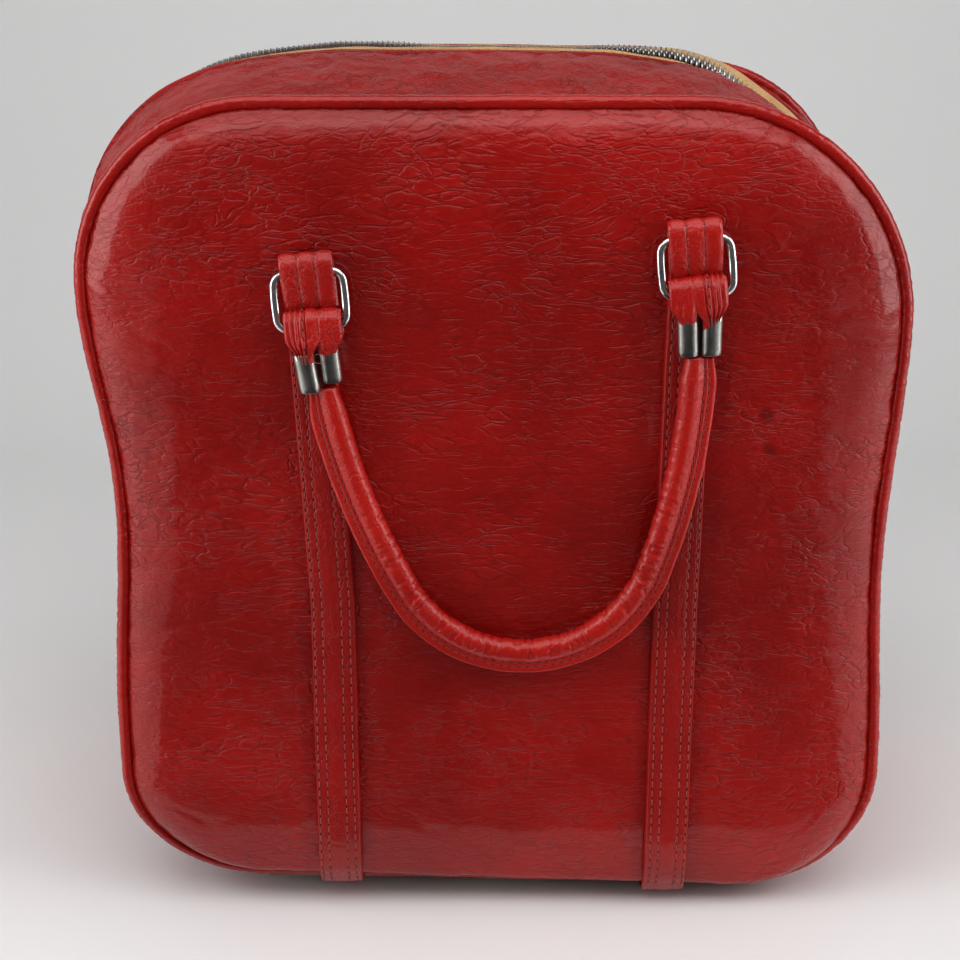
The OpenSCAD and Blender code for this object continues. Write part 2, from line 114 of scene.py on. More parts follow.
def joint(name):
    return next(j for j in frame["joints"] if j["name"] == name)


def joint_place(name):
    j = joint(name)
    return np.array(j.get("pos_m") or j["pos"]) / MM


RING_AXIS = {-1: joint_place("front_left_ring_swing"), 1: joint_place("front_right_ring_swing")}
HANDLE_AT = joint_place("front_handle_swing")

# Angle round the bag, in degrees, to how far the gusset's middle stands out of the outline
CROWN = [
    (-90, 0), (-50, 0), (-33, 2), (-8, 2), (8, 10), (22, 17), (36, 8), (46, -1), (54, 0),
    (61, 5), (66, 8), (74, 11), (90, 12), (112, 12), (120, 8.5), (128, 8.5), (138, 12), (155, 15),
    (170, 10), (186, 3), (213, 8), (235, 0), (270, 0),
]
# Angle to the slope across the zipper, the hump of its front hem, the fall behind it, and how far
# the teeth stand out
ZIP_SHAPE = [
    (-90, 0, 0, 0, 0), (40, 0, 2, 0, 1), (48, 0.6, 5.5, 2, 1), (54, 0.85, 5.5, 5, 1), (60, 0.8, 4, 8, 1),
    (67, 0.55, 2.8, 9, 1), (74, 0.2, 1.5, 8, 0.2), (79, 0.12, 1, 8, -0.8), (99, 0.12, 1, 7, -0.8),
    (104, 0.10, 0.8, 6, 0.8), (113, 0.05, 0.8, 6, 1), (122, 0.05, 1.4, 5, 1), (130, 0, 3.5, 4, 1),
    (146, 0, 3, 3, 1), (160, 0, 0, 0, 1), (190, 0, 0, 0, 0), (270, 0, 0, 0, 0),
]


# ---------------------------------------------------------------- the outline of the panels
def ease(t):
    return t * t * (3 - 2 * t)


def right_x(z):
    t = np.clip((z - LOW_ARC) / (HIGH_RIGHT - LOW_ARC), 0, 1)
    return RIGHT_X - WAIST_RIGHT * np.sin(np.pi * t) ** 2


def left_x(z):
    t = np.clip((z - LOW_ARC) / (HIGH_LEFT - LOW_ARC), 0, 1)
    return LEFT_X + NARROW_LEFT * (1 - ease(t)) + WAIST_LEFT * np.sin(np.pi * t**1.3) ** 2


LOW_ARC = BOTTOM_Z + CORNER_BOTTOM
HIGH_LEFT = TOP_Z - CORNER_TOP_LEFT
HIGH_RIGHT = TOP_Z - CORNER_TOP_RIGHT


def arc(cx, cz, r, a0, a1, n=80):
    a = np.radians(np.linspace(a0, a1, n))
    return np.stack([cx + r * np.cos(a), cz + r * np.sin(a)], 1)


def resample(points, n, closed=False):
    """n points at even spacing along a polyline, and their distances along it."""
    line = np.vstack([points, points[:1]]) if closed else points
    step = np.linalg.norm(np.diff(line, axis=0), axis=1)
    s = np.concatenate([[0], np.cumsum(step)])
    at = np.linspace(0, s[-1], n + 1)[:-1] if closed else np.linspace(0, s[-1], n)
    return np.stack([np.interp(at, s, line[:, k]) for k in range(line.shape[1])], 1), at


def smooth_loop(values, passes):
    """Averages each value with its neighbours, round a closed loop."""
    for _ in range(passes):
        values = (np.roll(values, 1, 0) + 2 * values + np.roll(values, -1, 0)) / 4
    return values


class Rim:
    """The closed outline, anticlockwise seen from the front, from the middle of the base."""

    def __init__(self, n):
        z = np.linspace(LOW_ARC, HIGH_RIGHT, 120)
        right = np.stack([right_x(z), z], 1)
        z = np.linspace(HIGH_LEFT, LOW_ARC, 120)
        left = np.stack([left_x(z), z], 1)
        raw = np.vstack([
            [[MID_X, BOTTOM_Z]],
            arc(RIGHT_X - CORNER_BOTTOM, LOW_ARC, CORNER_BOTTOM, 270, 360),
            right[1:],
            arc(RIGHT_X - CORNER_TOP_RIGHT, HIGH_RIGHT, CORNER_TOP_RIGHT, 0, 90)[1:],
            arc(LEFT_X + CORNER_TOP_LEFT, HIGH_LEFT, CORNER_TOP_LEFT, 90, 180),
            left[1:],
            arc(float(left_x(0.0)) + CORNER_BOTTOM, LOW_ARC, CORNER_BOTTOM, 180, 270)[1:],
        ])
        even, self.s = resample(raw, n, closed=True)
        self.p = smooth_loop(even, 6 * n // 500)
        d = np.roll(self.p, -1, 0) - np.roll(self.p, 1, 0)
        self.n = np.stack([d[:, 1], -d[:, 0]], 1) / np.linalg.norm(d, axis=1)[:, None]
        angle = np.degrees(np.arctan2(self.p[:, 1] - MID_Z, self.p[:, 0] - MID_X))
        angle = np.where(angle < -90, angle + 360, angle)
        table = np.array(CROWN, float)
        self.crown = smooth_loop(np.interp(angle, table[:, 0], table[:, 1]), 14 * n // 500)
        low = 1 - ease(np.clip((self.p[:, 1] - BOTTOM_Z) / 70, 0, 1))
        self.lift = low * base_lift(self.p[:, 0])
        shape = np.array(ZIP_SHAPE, float)
        self.zip = [smooth_loop(np.interp(angle, shape[:, 0], shape[:, k]), 8 * n // 500) for k in (1, 2, 3, 4)]
        self.sink = 6.5 * np.exp(-((angle - 53) / 9.5) ** 2)
        self.droop = 4.5 * np.exp(-((angle - 65) / 11) ** 2)

    def above(self, z):
        """The indices of the stretch above a height, from the right side over the top to the left."""
        up = np.where(self.p[:, 1] >= z)[0]
        return up

    def below(self, z):
        """The indices of the stretch below a height, from the left side under the base to the right."""
        down = np.where(self.p[:, 1] < z)[0]
        cut = len(self.p) // 2
        return np.concatenate([down[down >= cut], down[down < cut]])

    def skin(self, i, y, off):
        """Points on the curved side of the bag, for indices i, depths y and offsets off."""
        slope, hump, fall = (values[i] for values in self.zip[:3])
        d = self.crown[i] * (1 - (y / FRONT_Y) ** 2) - self.sink[i] * np.exp(-(y / 19) ** 2) + off
        d = d + slope * y * np.exp(-(y / 16) ** 2) + hump * np.exp(-((y + 15) / 8) ** 2)
        d = d - fall * ease(np.clip((y - 8) / 42, 0, 1)) * (1 - ease(np.clip((y - 75) / 40, 0, 1)))
        x = self.p[i, 0] + self.n[i, 0] * d + lean_x(y)
        raised = self.lift[i] * ease(np.clip((np.abs(y) - 70) / 30, 0, 1))
        raised = raised - self.droop[i] * ease(np.clip((y - 40) / 60, 0, 1))
        return np.stack([x, y + 0 * d, self.p[i, 1] + self.n[i, 1] * d + raised], -1)

    def raised(self, sign, share=1.0):
        """The outline at the piping: lifted at the base, and drooping at the back's right shoulder."""
        p = self.p.copy()
        p[:, 1] += self.lift * share - (self.droop if sign < 0 else 0)
        return p


def base_lift(x):
    """How far the soft lower edge is drawn up: more on the left than on the right."""
    return np.clip(5.2 - 0.034 * x, 0, 9)


def lean_x(y):
    return BACK_SHIFT * ease(np.clip((np.asarray(y, float) + 40) / 140, 0, 1))


# ---------------------------------------------------------------- noise
def rough(points, size, seed, octaves=3):
    """Smooth noise in about -1..1 at points in millimetres; size is the distance between bumps."""
    flat = (points / size).reshape(-1, 3)
    shift = Vector((seed * 17.13, seed * 5.71, seed * 9.37))
    values = [noise.fractal(Vector(p) + shift, 0.9, 2.1, octaves) for p in flat]
    return np.array(values).reshape(points.shape[:-1])


def creases(points, size, seed, width=0.10):
    """Narrow valleys along the zero lines of a noise: 1 in a valley, 0 away from it."""
    return np.clip(1 - np.abs(rough(points, size, seed, 2)) / width, 0, 1) ** 2


# ---------------------------------------------------------------- meshes
class Shell:
    """Collects vertices in millimetres and faces, and makes one mesh piece of them."""

    def __init__(self):
        self.verts = []
        self.faces = []
        self.slots = []
        self.count = 0

    def add(self, points, faces, slot=0):
        self.verts.append(np.asarray(points, float).reshape(-1, 3))
        self.faces += [[v + self.count for v in f] for f in faces]
        self.slots += [slot] * len(faces)
        self.count += len(self.verts[-1])

    def grid(self, points, loop_u=False, loop_v=False, slot=0, cap_u=False):
        n, m = points.shape[:2]
        index = np.arange(n * m).reshape(n, m)
        if loop_u:
            index = np.vstack([index, index[:1]])
        if loop_v:
            index = np.hstack([index, index[:, :1]])
        quads = np.stack([index[:-1, :-1], index[1:, :-1], index[1:, 1:], index[:-1, 1:]], -1)
        faces = quads.reshape(-1, 4).tolist()
        if cap_u:
            faces += [list(range(m))[::-1], list(range((n - 1) * m, n * m))]
        self.add(points, faces, slot)

    def piece(self, name, materials, mirror=False, sharp=None):
        points = np.vstack(self.verts) * MM
        if mirror:
            points[:, 1] *= -1
        mesh = bpy.data.meshes.new(name)
        mesh.from_pydata(points.tolist(), [], self.faces)
        for material in materials:
            mesh.materials.append(material)
        mesh.polygons.foreach_set("material_index", np.array(self.slots, np.int32))
        bm = bmesh.new()
        bm.from_mesh(mesh)
        bmesh.ops.recalc_face_normals(bm, faces=bm.faces)
        bm.to_mesh(mesh)
        bm.free()
        mesh.polygons.foreach_set("use_smooth", np.ones(len(mesh.polygons), bool))
        if sharp:
            mesh.set_sharp_from_angle(angle=math.radians(sharp))
        thing = bpy.data.objects.new(name, mesh)
        bpy.context.scene.collection.objects.link(thing)
        return thing


def unit(v):
    return v / np.maximum(np.linalg.norm(v, axis=-1, keepdims=True), 1e-9)


def swept(path, across, out, section):
    """Places a section of (across, out) points at each point of a path."""
    section = np.asarray(section, float)
    if section.ndim == 2:
        section = np.repeat(section[None], len(path), 0)
    return (path[:, None] + across[:, None] * section[..., :1] + out[:, None] * section[..., 1:])


def curve_through(points, n):
    """A smooth curve through points, with n even points."""
    points = np.asarray(points, float)
    ends = np.vstack([2 * points[0] - points[1], points, 2 * points[-1] - points[-2]])
    t = np.linspace(0, 1, 16, endpoint=False)[:, None]
    out = []
    for a, b, c, d in zip(ends, ends[1:], ends[2:], ends[3:]):
        out.append(0.5 * (2 * b + (c - a) * t + (2 * a - 5 * b + 4 * c - d) * t**2
                          + (3 * b - a - 3 * c + d) * t**3))
    return resample(np.vstack(out + [points[-1:]]), n)[0]


def stitches(shell, line, up, pitch=4.7, radius=0.34, thread=1, hole_shade=2, sunk=0.0):
    """A row of separate stitches along a line, each between two needle holes; each hole is a small near-black cone,
    its colour painted shade of the hole.
    """
    step = np.linalg.norm(np.diff(line, axis=0), axis=1)
    s = np.concatenate([[0], np.cumsum(step)])
    t = np.linspace(0, 1, 6)
    turn = np.linspace(0, 2 * np.pi, 6, endpoint=False)
    hop = radius * (1.5 * np.sin(np.pi * t) ** 0.6 - 0.9) - sunk

    def at(x, values):
        return np.stack([np.interp(x, s, values[:, k]) for k in range(3)], -1)

    for i in range(int(s[-1] / pitch)):
        x = (i + 0.16 + 0.68 * t) * pitch
        p, u = at(x, line), unit(at(x, up))
        side = unit(np.cross(unit(np.gradient(p, axis=0)), u))
        tube = (p[:, None] + u[:, None] * (hop[:, None, None] + radius * np.cos(turn)[None, :, None])
                + side[:, None] * (radius * np.sin(turn)[None, :, None]))
        shell.grid(tube, loop_v=True, slot=thread, cap_u=True)
        # The needle hole: a small cone coloured as painted shade.
        x = np.array([i * pitch, i * pitch + 0.5])
        p, u = at(x, line), unit(at(x, up))
        along = unit(p[1] - p[0])
        side = np.cross(along, u[0])
        ring = [p[0] + along * 0.62 * math.cos(a) + side * 0.45 * math.sin(a) for a in turn]
        tips = [p[0] + u[0] * (0.12 - sunk), p[0] - u[0] * 0.5]
        faces = [[k, (k + 1) % 6, 6] for k in range(6)] + [[(k + 1) % 6, k, 7] for k in range(6)]
        shell.add(ring + tips, faces, hole_shade)


# ---------------------------------------------------------------- materials
class Nodes:
    """A short way to write a node material."""

    def __init__(self, name):
        self.material = bpy.data.materials.new(name)
        self.material.use_nodes = True
        self.tree = self.material.node_tree
        self.shader = self.tree.nodes["Principled BSDF"]
        self.where = self.make("ShaderNodeTexCoord").outputs["Object"]

    def make(self, kind, **values):
        node = self.tree.nodes.new(kind)
        for key, value in values.items():
            setattr(node, key, value)
        return node

    def link(self, a, b):
        self.tree.links.new(a, b)

    def scaled(self, scale, turn=(0, 0, 0)):
        node = self.make("ShaderNodeMapping")
        node.inputs["Scale"].default_value = scale
        node.inputs["Rotation"].default_value = turn
        self.link(self.where, node.inputs["Vector"])
        return node.outputs["Vector"]

    def warped(self, vector, scale, amount):
        node = self.make("ShaderNodeTexNoise")
        node.inputs["Scale"].default_value = scale
        self.link(vector, node.inputs["Vector"])
        mix = self.make("ShaderNodeVectorMath", operation="MULTIPLY_ADD")
        self.link(node.outputs["Color"], mix.inputs[0])
        mix.inputs[1].default_value = (amount,) * 3
        self.link(vector, mix.inputs[2])
        return mix.outputs["Vector"]

    def noise(self, scale, detail=3, roughness=0.55, distortion=0.0, vector=None):
        node = self.make("ShaderNodeTexNoise")
        node.inputs["Scale"].default_value = scale
        node.inputs["Detail"].default_value = detail
        node.inputs["Roughness"].default_value = roughness
        node.inputs["Distortion"].default_value = distortion
        self.link(vector or self.where, node.inputs["Vector"])
        return node.outputs["Fac"]

    def cells(self, scale, vector=None, feature="DISTANCE_TO_EDGE"):
        node = self.make("ShaderNodeTexVoronoi", feature=feature)
        node.inputs["Scale"].default_value = scale
        self.link(vector or self.where, node.inputs["Vector"])
        return node.outputs["Distance"]

    def math(self, operation, a, b=0.0, c=0.0):
        node = self.make("ShaderNodeMath", operation=operation)
        for socket, value in zip(node.inputs, (a, b, c)):
            if isinstance(value, (int, float)):
                socket.default_value = value
            else:
                self.link(value, socket)
        return node.outputs[0]

    def spread(self, value, low, high, to_low=0.0, to_high=1.0):
        node = self.make("ShaderNodeMapRange", clamp=True)
        node.interpolation_type = "SMOOTHSTEP"
        self.link(value, node.inputs["Value"])
        for key, number in (("From Min", low), ("From Max", high),
                            ("To Min", to_low), ("To Max", to_high)):
            node.inputs[key].default_value = number
        return node.outputs["Result"]

    def mixed(self, factor, a, b):
        node = self.make("ShaderNodeMix", data_type="RGBA")
        self.link(factor, node.inputs["Factor"])
        for socket, value in ((node.inputs["A"], a), (node.inputs["B"], b)):
            if isinstance(value, tuple):
                socket.default_value = (*value, 1)
            else:
                self.link(value, socket)
        return node.outputs["Result"]

    def finish(self, color, roughness, height=None, depth=0.0005, strength=1.0, **constants):
        self.link(color, self.shader.inputs["Base Color"])
        self.link(roughness, self.shader.inputs["Roughness"])
        if height is not None:
            bump = self.make("ShaderNodeBump")
            bump.inputs["Distance"].default_value = depth
            bump.inputs["Strength"].default_value = strength
            self.link(height, bump.inputs["Height"])
            self.link(bump.outputs["Normal"], self.shader.inputs["Normal"])
        for key, value in constants.items():
            self.shader.inputs[key.replace("_", " ")].default_value = value
        return self.material


def vinyl(name, deep, lit, rough_low, rough_high, crease=1.0, stretch=(0.36, 1.0, 1.0),
          fine=1.0, turn=(0, 0.2, 0), coat=0.6, index=1.42):
    """Leather-grain vinyl: long creases, short creases between them, pebbles, crease lips painted lighter as
    painted highlight and wear, and painted shade in the crease grooves.
    """
    m = Nodes(name)
    along = m.warped(m.warped(m.scaled(stretch, turn), 26, 0.026), 240, 0.0045)
    loose = tuple(0.5 + 0.5 * k for k in stretch)
    across = m.warped(m.warped(m.scaled(loose, (turn[0], turn[1] + 0.35, turn[2])), 60, 0.010), 500, 0.002)
    patches = m.noise(9, 3, 0.6)
    mask = m.math("MULTIPLY", m.spread(m.noise(17, 3), 0.36, 0.62), m.spread(m.noise(95, 2), 0.36, 0.60))
    other = m.spread(m.noise(23, 3, 0.55, 0.0, m.scaled((1, 1, 1), (0.4, 0.9, 0.2))), 0.40, 0.62)
    edges = m.cells(240, along)
    long_lines = m.spread(edges, 0.0, 0.14)
    short_lines = m.spread(m.cells(400, across), 0.0, 0.20)
    drawn = m.warped(m.scaled((stretch[0] * 0.8, stretch[1], stretch[2]), turn), 40, 0.016)
    waves = m.math("ABSOLUTE", m.math("SUBTRACT", m.noise(95, 4, 0.60, 0.0, drawn), 0.5))
    wrinkles = m.math("MAXIMUM", m.spread(waves, 0.0, 0.045), m.math("SUBTRACT", 1.0, other))
    pebbles = m.spread(m.cells(1000 * fine, across), 0.0, 0.30)
    grain = m.noise(2100 * fine, 2, 0.6)
    height = m.math("MULTIPLY", m.math("MULTIPLY_ADD", mask, 1.10 * crease, 0.28 * crease), long_lines)
    height = m.math("MULTIPLY_ADD", short_lines, 0.11, height)
    height = m.math("MULTIPLY_ADD", wrinkles, 0.75 * crease, height)
    height = m.math("MULTIPLY_ADD", pebbles, 0.08, height)
    height = m.math("MULTIPLY_ADD", grain, 0.05, height)
    height = m.math("MULTIPLY_ADD", m.noise(80, 3, 0.5), 2.6 * crease, height)
    color = m.mixed(m.spread(patches, 0.3, 0.7), deep, lit)
    # Crease lips painted lighter: partly painted highlight where the rims catch light, partly wear.
    lip_highlight_and_wear = tuple(min(1, c * 1.15 + 0.045) for c in lit)
    # Crease grooves painted darker: painted shade in the valleys.
    groove = m.math("SUBTRACT", 1.0, m.spread(edges, 0.0, 0.07))
    lip = m.math("SUBTRACT", m.spread(edges, 0.08, 0.16), m.spread(edges, 0.18, 0.34))
    # Mixes in the lip colour (painted highlight and wear) and the groove colour (painted shade).
    for lines, share, paint in ((lip, 0.14, lip_highlight_and_wear), (groove, 0.28, tuple(c * 0.45 for c in deep))):
        amount = m.math("MULTIPLY", lines, share * crease)
        color = m.mixed(m.math("MULTIPLY", amount, m.math("MULTIPLY_ADD", mask, 0.75, 0.25)), color, paint)
    marks = m.spread(m.noise(38, 1, 0.5), 0.755, 0.80, 0.0, 0.5)
    color = m.mixed(marks, color, tuple(c * 0.35 for c in deep))
    roughness = m.math("MULTIPLY_ADD", m.noise(26, 4), rough_high - rough_low, rough_low)
    roughness = m.math("MULTIPLY_ADD", grain, 0.08, roughness)
    return m.finish(color, roughness, height, 0.00036, 1.0, IOR=index,
                    Coat_Weight=coat, Coat_Roughness=0.10)


def thread_material(name, a, b):
    m = Nodes(name)
    twist = m.make("ShaderNodeTexWave", bands_direction="DIAGONAL")
    twist.inputs["Scale"].default_value = 900
    twist.inputs["Distortion"].default_value = 1.0
    m.link(m.where, twist.inputs["Vector"])
    color = m.mixed(m.noise(160, 2), a, b)
    return m.finish(color, m.spread(m.noise(300), 0.3, 0.7, 0.55, 0.75),
                    twist.outputs["Fac"], 0.0001, 0.6, Sheen_Weight=0.2)


def hole_shade_material():
    m = Nodes("needle_hole_shade")
    # Near-black colour of the needle holes: painted shade inside the holes.
    color = m.mixed(m.noise(400, 2), (0.07, 0.002, 0.002), (0.13, 0.006, 0.005))
    return m.finish(color, m.spread(m.noise(700), 0.3, 0.7, 0.7, 0.85), m.noise(900), 0.0001, 0.4)


def metal(name, dark, bright, rough_low, rough_high, scratch=1.0, patina=0.3, fine=1.0):
    """Bare or plated metal with fine scratches and a darker patina in patches."""
    m = Nodes(name)
    lines = m.noise(60 * fine, 3, 0.7, 0.0, m.scaled((1.0, 6.0, 24.0), (0.3, 0.1, 0.0)))
    cross = m.noise(90 * fine, 3, 0.7, 0.0, m.scaled((22.0, 3.0, 1.5), (0.0, 0.5, 0.2)))
    stain = m.spread(m.noise(120 * fine, 4, 0.65), 0.5 - patina, 0.5 + patina * 0.6)
    color = m.mixed(stain, dark, bright)
    roughness = m.math("MULTIPLY_ADD", lines, rough_high - rough_low, rough_low)
    roughness = m.math("MULTIPLY_ADD", cross, 0.08, roughness)
    height = m.math("MULTIPLY_ADD", lines, 1.0, m.math("MULTIPLY", cross, 0.7))
    return m.finish(color, roughness, height, 0.00006 * scratch, 0.5, Metallic=1.0)


def woven(name, a, b, scale, ribs=1.0, sheen=0.3, bands=(1, 1)):
    """A plain weave of two thread directions."""
    m = Nodes(name)
    height = None
    for direction, weight in (("X", bands[0]), ("Z", bands[1])):
        wave = m.make("ShaderNodeTexWave", bands_direction=direction)
        wave.inputs["Scale"].default_value = scale * weight
        wave.inputs["Distortion"].default_value = 0.6
        wave.inputs["Detail Scale"].default_value = 30
        m.link(m.where, wave.inputs["Vector"])
        height = wave.outputs["Fac"] if height is None else m.math(
            "MULTIPLY_ADD", wave.outputs["Fac"], 0.6, height)
    tone = m.math("MULTIPLY_ADD", m.noise(60, 4), 0.7, m.math("MULTIPLY", height, 0.25))
    color = m.mixed(m.spread(tone, 0.25, 0.75), a, b)
    return m.finish(color, m.spread(m.noise(200), 0.3, 0.7, 0.75, 0.92), height,
                    0.00022 * ribs, 0.7, Sheen_Weight=sheen, Sheen_Roughness=0.5)


def board_material():
    m = Nodes("pressed_board")
    fibres = m.noise(120, 5, 0.7, 0.3, m.scaled((1, 1, 9)))
    color = m.mixed(m.spread(m.noise(35, 4), 0.3, 0.7), (0.24, 0.17, 0.10), (0.40, 0.31, 0.20))
    return m.finish(color, m.spread(fibres, 0.3, 0.7, 0.75, 0.95), fibres, 0.0002, 0.5)


def rope_material():
    m = Nodes("twisted_cord")
    wave = m.make("ShaderNodeTexWave", bands_direction="DIAGONAL")
    wave.inputs["Scale"].default_value = 130
    wave.inputs["Distortion"].default_value = 0.8
    m.link(m.where, wave.inputs["Vector"])
    color = m.mixed(m.noise(150, 3), (0.42, 0.36, 0.25), (0.66, 0.58, 0.43))
    return m.finish(color, m.spread(m.noise(300), 0.3, 0.7, 0.8, 0.95),
                    wave.outputs["Fac"], 0.0006, 0.8)


def plastic_material():
    m = Nodes("moulded_black")
    texture = m.cells(900, feature="F1")
    color = m.mixed(m.noise(30, 4), (0.012, 0.012, 0.013), (0.028, 0.028, 0.030))
    roughness = m.math("MULTIPLY_ADD", m.noise(60, 4), 0.2, 0.38)
    return m.finish(color, roughness, texture, 0.00015, 0.5)


def make_materials():
    red, red_lit = (0.25, 0.0024, 0.0008), (0.38, 0.0048, 0.0015)
    return {
        "panel": vinyl("body_vinyl", red, red_lit, 0.20, 0.34),
        "gusset": vinyl("side_vinyl", red, red_lit, 0.32, 0.46, 1.5, (1.0, 0.6, 1.0), coat=0.04, index=1.36),
        "welt": vinyl("piping_vinyl", (0.30, 0.004, 0.002), (0.42, 0.008, 0.004), 0.18, 0.30, 0.4),
        "strap": vinyl("strap_vinyl", (0.26, 0.003, 0.0015), (0.38, 0.006, 0.003), 0.22, 0.36,
                       0.55, (1.2, 1.0, 0.8)),
        "handle": vinyl("handle_vinyl", (0.36, 0.006, 0.0025), (0.49, 0.011, 0.005), 0.20, 0.34,
                        0.45, (1, 1, 1), 1.3),
        "edge": vinyl("cut_edge_vinyl", (0.40, 0.02, 0.018), (0.56, 0.06, 0.045), 0.35, 0.5, 0.3),
        "thread": thread_material("red_thread", (0.30, 0.030, 0.025), (0.48, 0.090, 0.070)),
        "dark_thread": thread_material("dark_red_thread", (0.20, 0.012, 0.01), (0.38, 0.05, 0.04)),
        # Near-black hem thread: its darkness is painted shade along the gusset's stitch rows.
        "hem_thread_painted_shade": thread_material("hem_thread_painted_shade", (0.10, 0.006, 0.005), (0.22, 0.03, 0.025)),
        # Needle holes coloured as painted shade.
        "hole_shade": hole_shade_material(),
        "tape": woven("zip_tape_cotton", (0.42, 0.22, 0.07), (0.66, 0.42, 0.17), 420, 1.2),
        "teeth": metal("zip_aluminium", (0.30, 0.30, 0.30), (0.62, 0.62, 0.61), 0.22, 0.40, 1, 0.3),
        "slider": metal("slider_nickel", (0.45, 0.44, 0.42), (0.78, 0.77, 0.75), 0.2, 0.42, 1, 0.35),
        "ring": metal("ring_steel", (0.50, 0.50, 0.51), (0.88, 0.88, 0.89), 0.10, 0.26, 0.7, 0.35),
        "ferrule": metal("ferrule_steel", (0.27, 0.26, 0.24), (0.55, 0.54, 0.51), 0.20, 0.36,
                         0.8, 0.42, 1.3),
        "feet": metal("feet_nickel", (0.42, 0.41, 0.39), (0.78, 0.77, 0.75), 0.16, 0.4, 1, 0.3),
        "board": board_material(),
        "rope": rope_material(),
        "lining": woven("lining_cloth", (0.05, 0.043, 0.04), (0.10, 0.088, 0.08), 300, 1.0),
        "plastic": plastic_material(),
    }


LOOK = make_materials()


# ---------------------------------------------------------------- panels, piping and gusset
def strap_side_x(k, z):
    """The middle of a strap at a height: it leans a little towards its ring above the bend."""
    low = STRAP_LOW_X[k]
    top = RING_AXIS[k][0]
    bend = FOLD_Z + 75
    t = np.clip((z - bend) / (RING_AXIS[k][2] - 14.5 - bend), 0, 1)
    return low + (top - low) * t


def strap_middle(node):
    low, high = box_mm(node)
    return (low[0] + high[0]) / 2


STRAP_LOW_X = {-1: strap_middle("base_strap_left"), 1: strap_middle("base_strap_right")}


def panel(name, sign, materials, seed):
    """A domed panel: puffed at the rim, puckered along its seam, flat under the straps."""
    rim = Rim(560)
    d = np.concatenate([np.linspace(0.4, 22, 26), np.linspace(24, 60, 16)])
    edge = rim.raised(sign)
    reach = np.einsum("ij,ij->i", edge - [MID_X, MID_Z], rim.n)
    rings = [edge - (edge - [MID_X, MID_Z]) * (x / reach)[:, None] for x in d]
    inner = rings[-1]
    for t in np.linspace(0, 1, 46)[1:-1]:
        rings.append(inner + ([MID_X, MID_Z] - inner) * t)
    flat = np.array(rings)
    depth = np.array([np.full(len(rim.p), x) for x in d]
                     + [np.full(len(rim.p), 60.0) + 100 * t for t in np.linspace(0, 1, 46)[1:-1]])
    base = np.clip(-rim.n[:, 1], 0, 1)[None] ** 3
    steep = 6.5 - 4.6 * base
    rise = ((0.70 + 0.08 * base) * (1 - np.exp(-((depth - 0.4) / steep) ** 1.15))
            + (0.30 - 0.08 * base) * (1 - np.exp(-(depth / 26) ** 2)))
    p3 = np.stack([flat[..., 0], 0 * depth, flat[..., 1]], -1)
    under = np.zeros_like(depth)
    for k in (-1, 1):
        gap = np.abs(flat[..., 0] - strap_side_x(k, flat[..., 1])) - STRAP_W / 2
        near = 1 - ease(np.clip((gap + 2) / 12, 0, 1))
        under = np.maximum(under, near * (flat[..., 1] < RING_AXIS[k][2] - 2))
    loose = 1 - ease(np.clip((20 - depth) / 20, 0, 1))
    waves = 1.1 * rough(p3 * [0.8, 1, 1], 85, seed, 2) + 0.35 * rough(p3 * [0.7, 1, 1.2], 24, seed + 1, 3)
    folds = creases(p3 * [0.55, 1, 1.1], 30, seed + 2, 0.16)
    out = DOME * rise + loose * (1 - under) * (waves * 0.55 - 0.25 * folds) + 0.9 * (1 - under) * loose
    out -= 0.3 * under
    around = np.stack([np.broadcast_to(rim.s, depth.shape), depth * 0.25, 0 * depth], -1)
    pucker = np.exp(-((depth - 2) / 9) ** 2)
    out += pucker * (0.55 * rough(around, 9, seed + 3, 2) + 0.3 * rough(around, 28, seed + 4, 2))
    out = np.where(depth < 1.0, 0.0, out)
    lift = [FRONT_Y + 0.2 - out, FRONT_Y + 1.6 - out]
    shift = lean_x(100 if sign < 0 else -100)
    shell = Shell()
    for y in lift:
        skin = np.stack([flat[..., 0] + shift, y, flat[..., 1]], -1)
        centre = [[MID_X + shift, y[-1].mean(), MID_Z]]
        shell.grid(skin, loop_v=True)
        n = len(skin) - 1
        start = shell.count - len(rim.p)
        shell.add(centre, [])
        tip = shell.count - 1
        fan = [[start + i, start + (i + 1) % len(rim.p), tip] for i in range(len(rim.p))]
        shell.faces += fan
        shell.slots += [0] * len(fan)
    m = len(rim.p)
    second = shell.count // 2
    edge = [[i, (i + 1) % m, second + (i + 1) % m, second + i] for i in range(m)]
    shell.faces += edge
    shell.slots += [0] * m
    return shell.piece(name, materials, mirror=sign < 0)


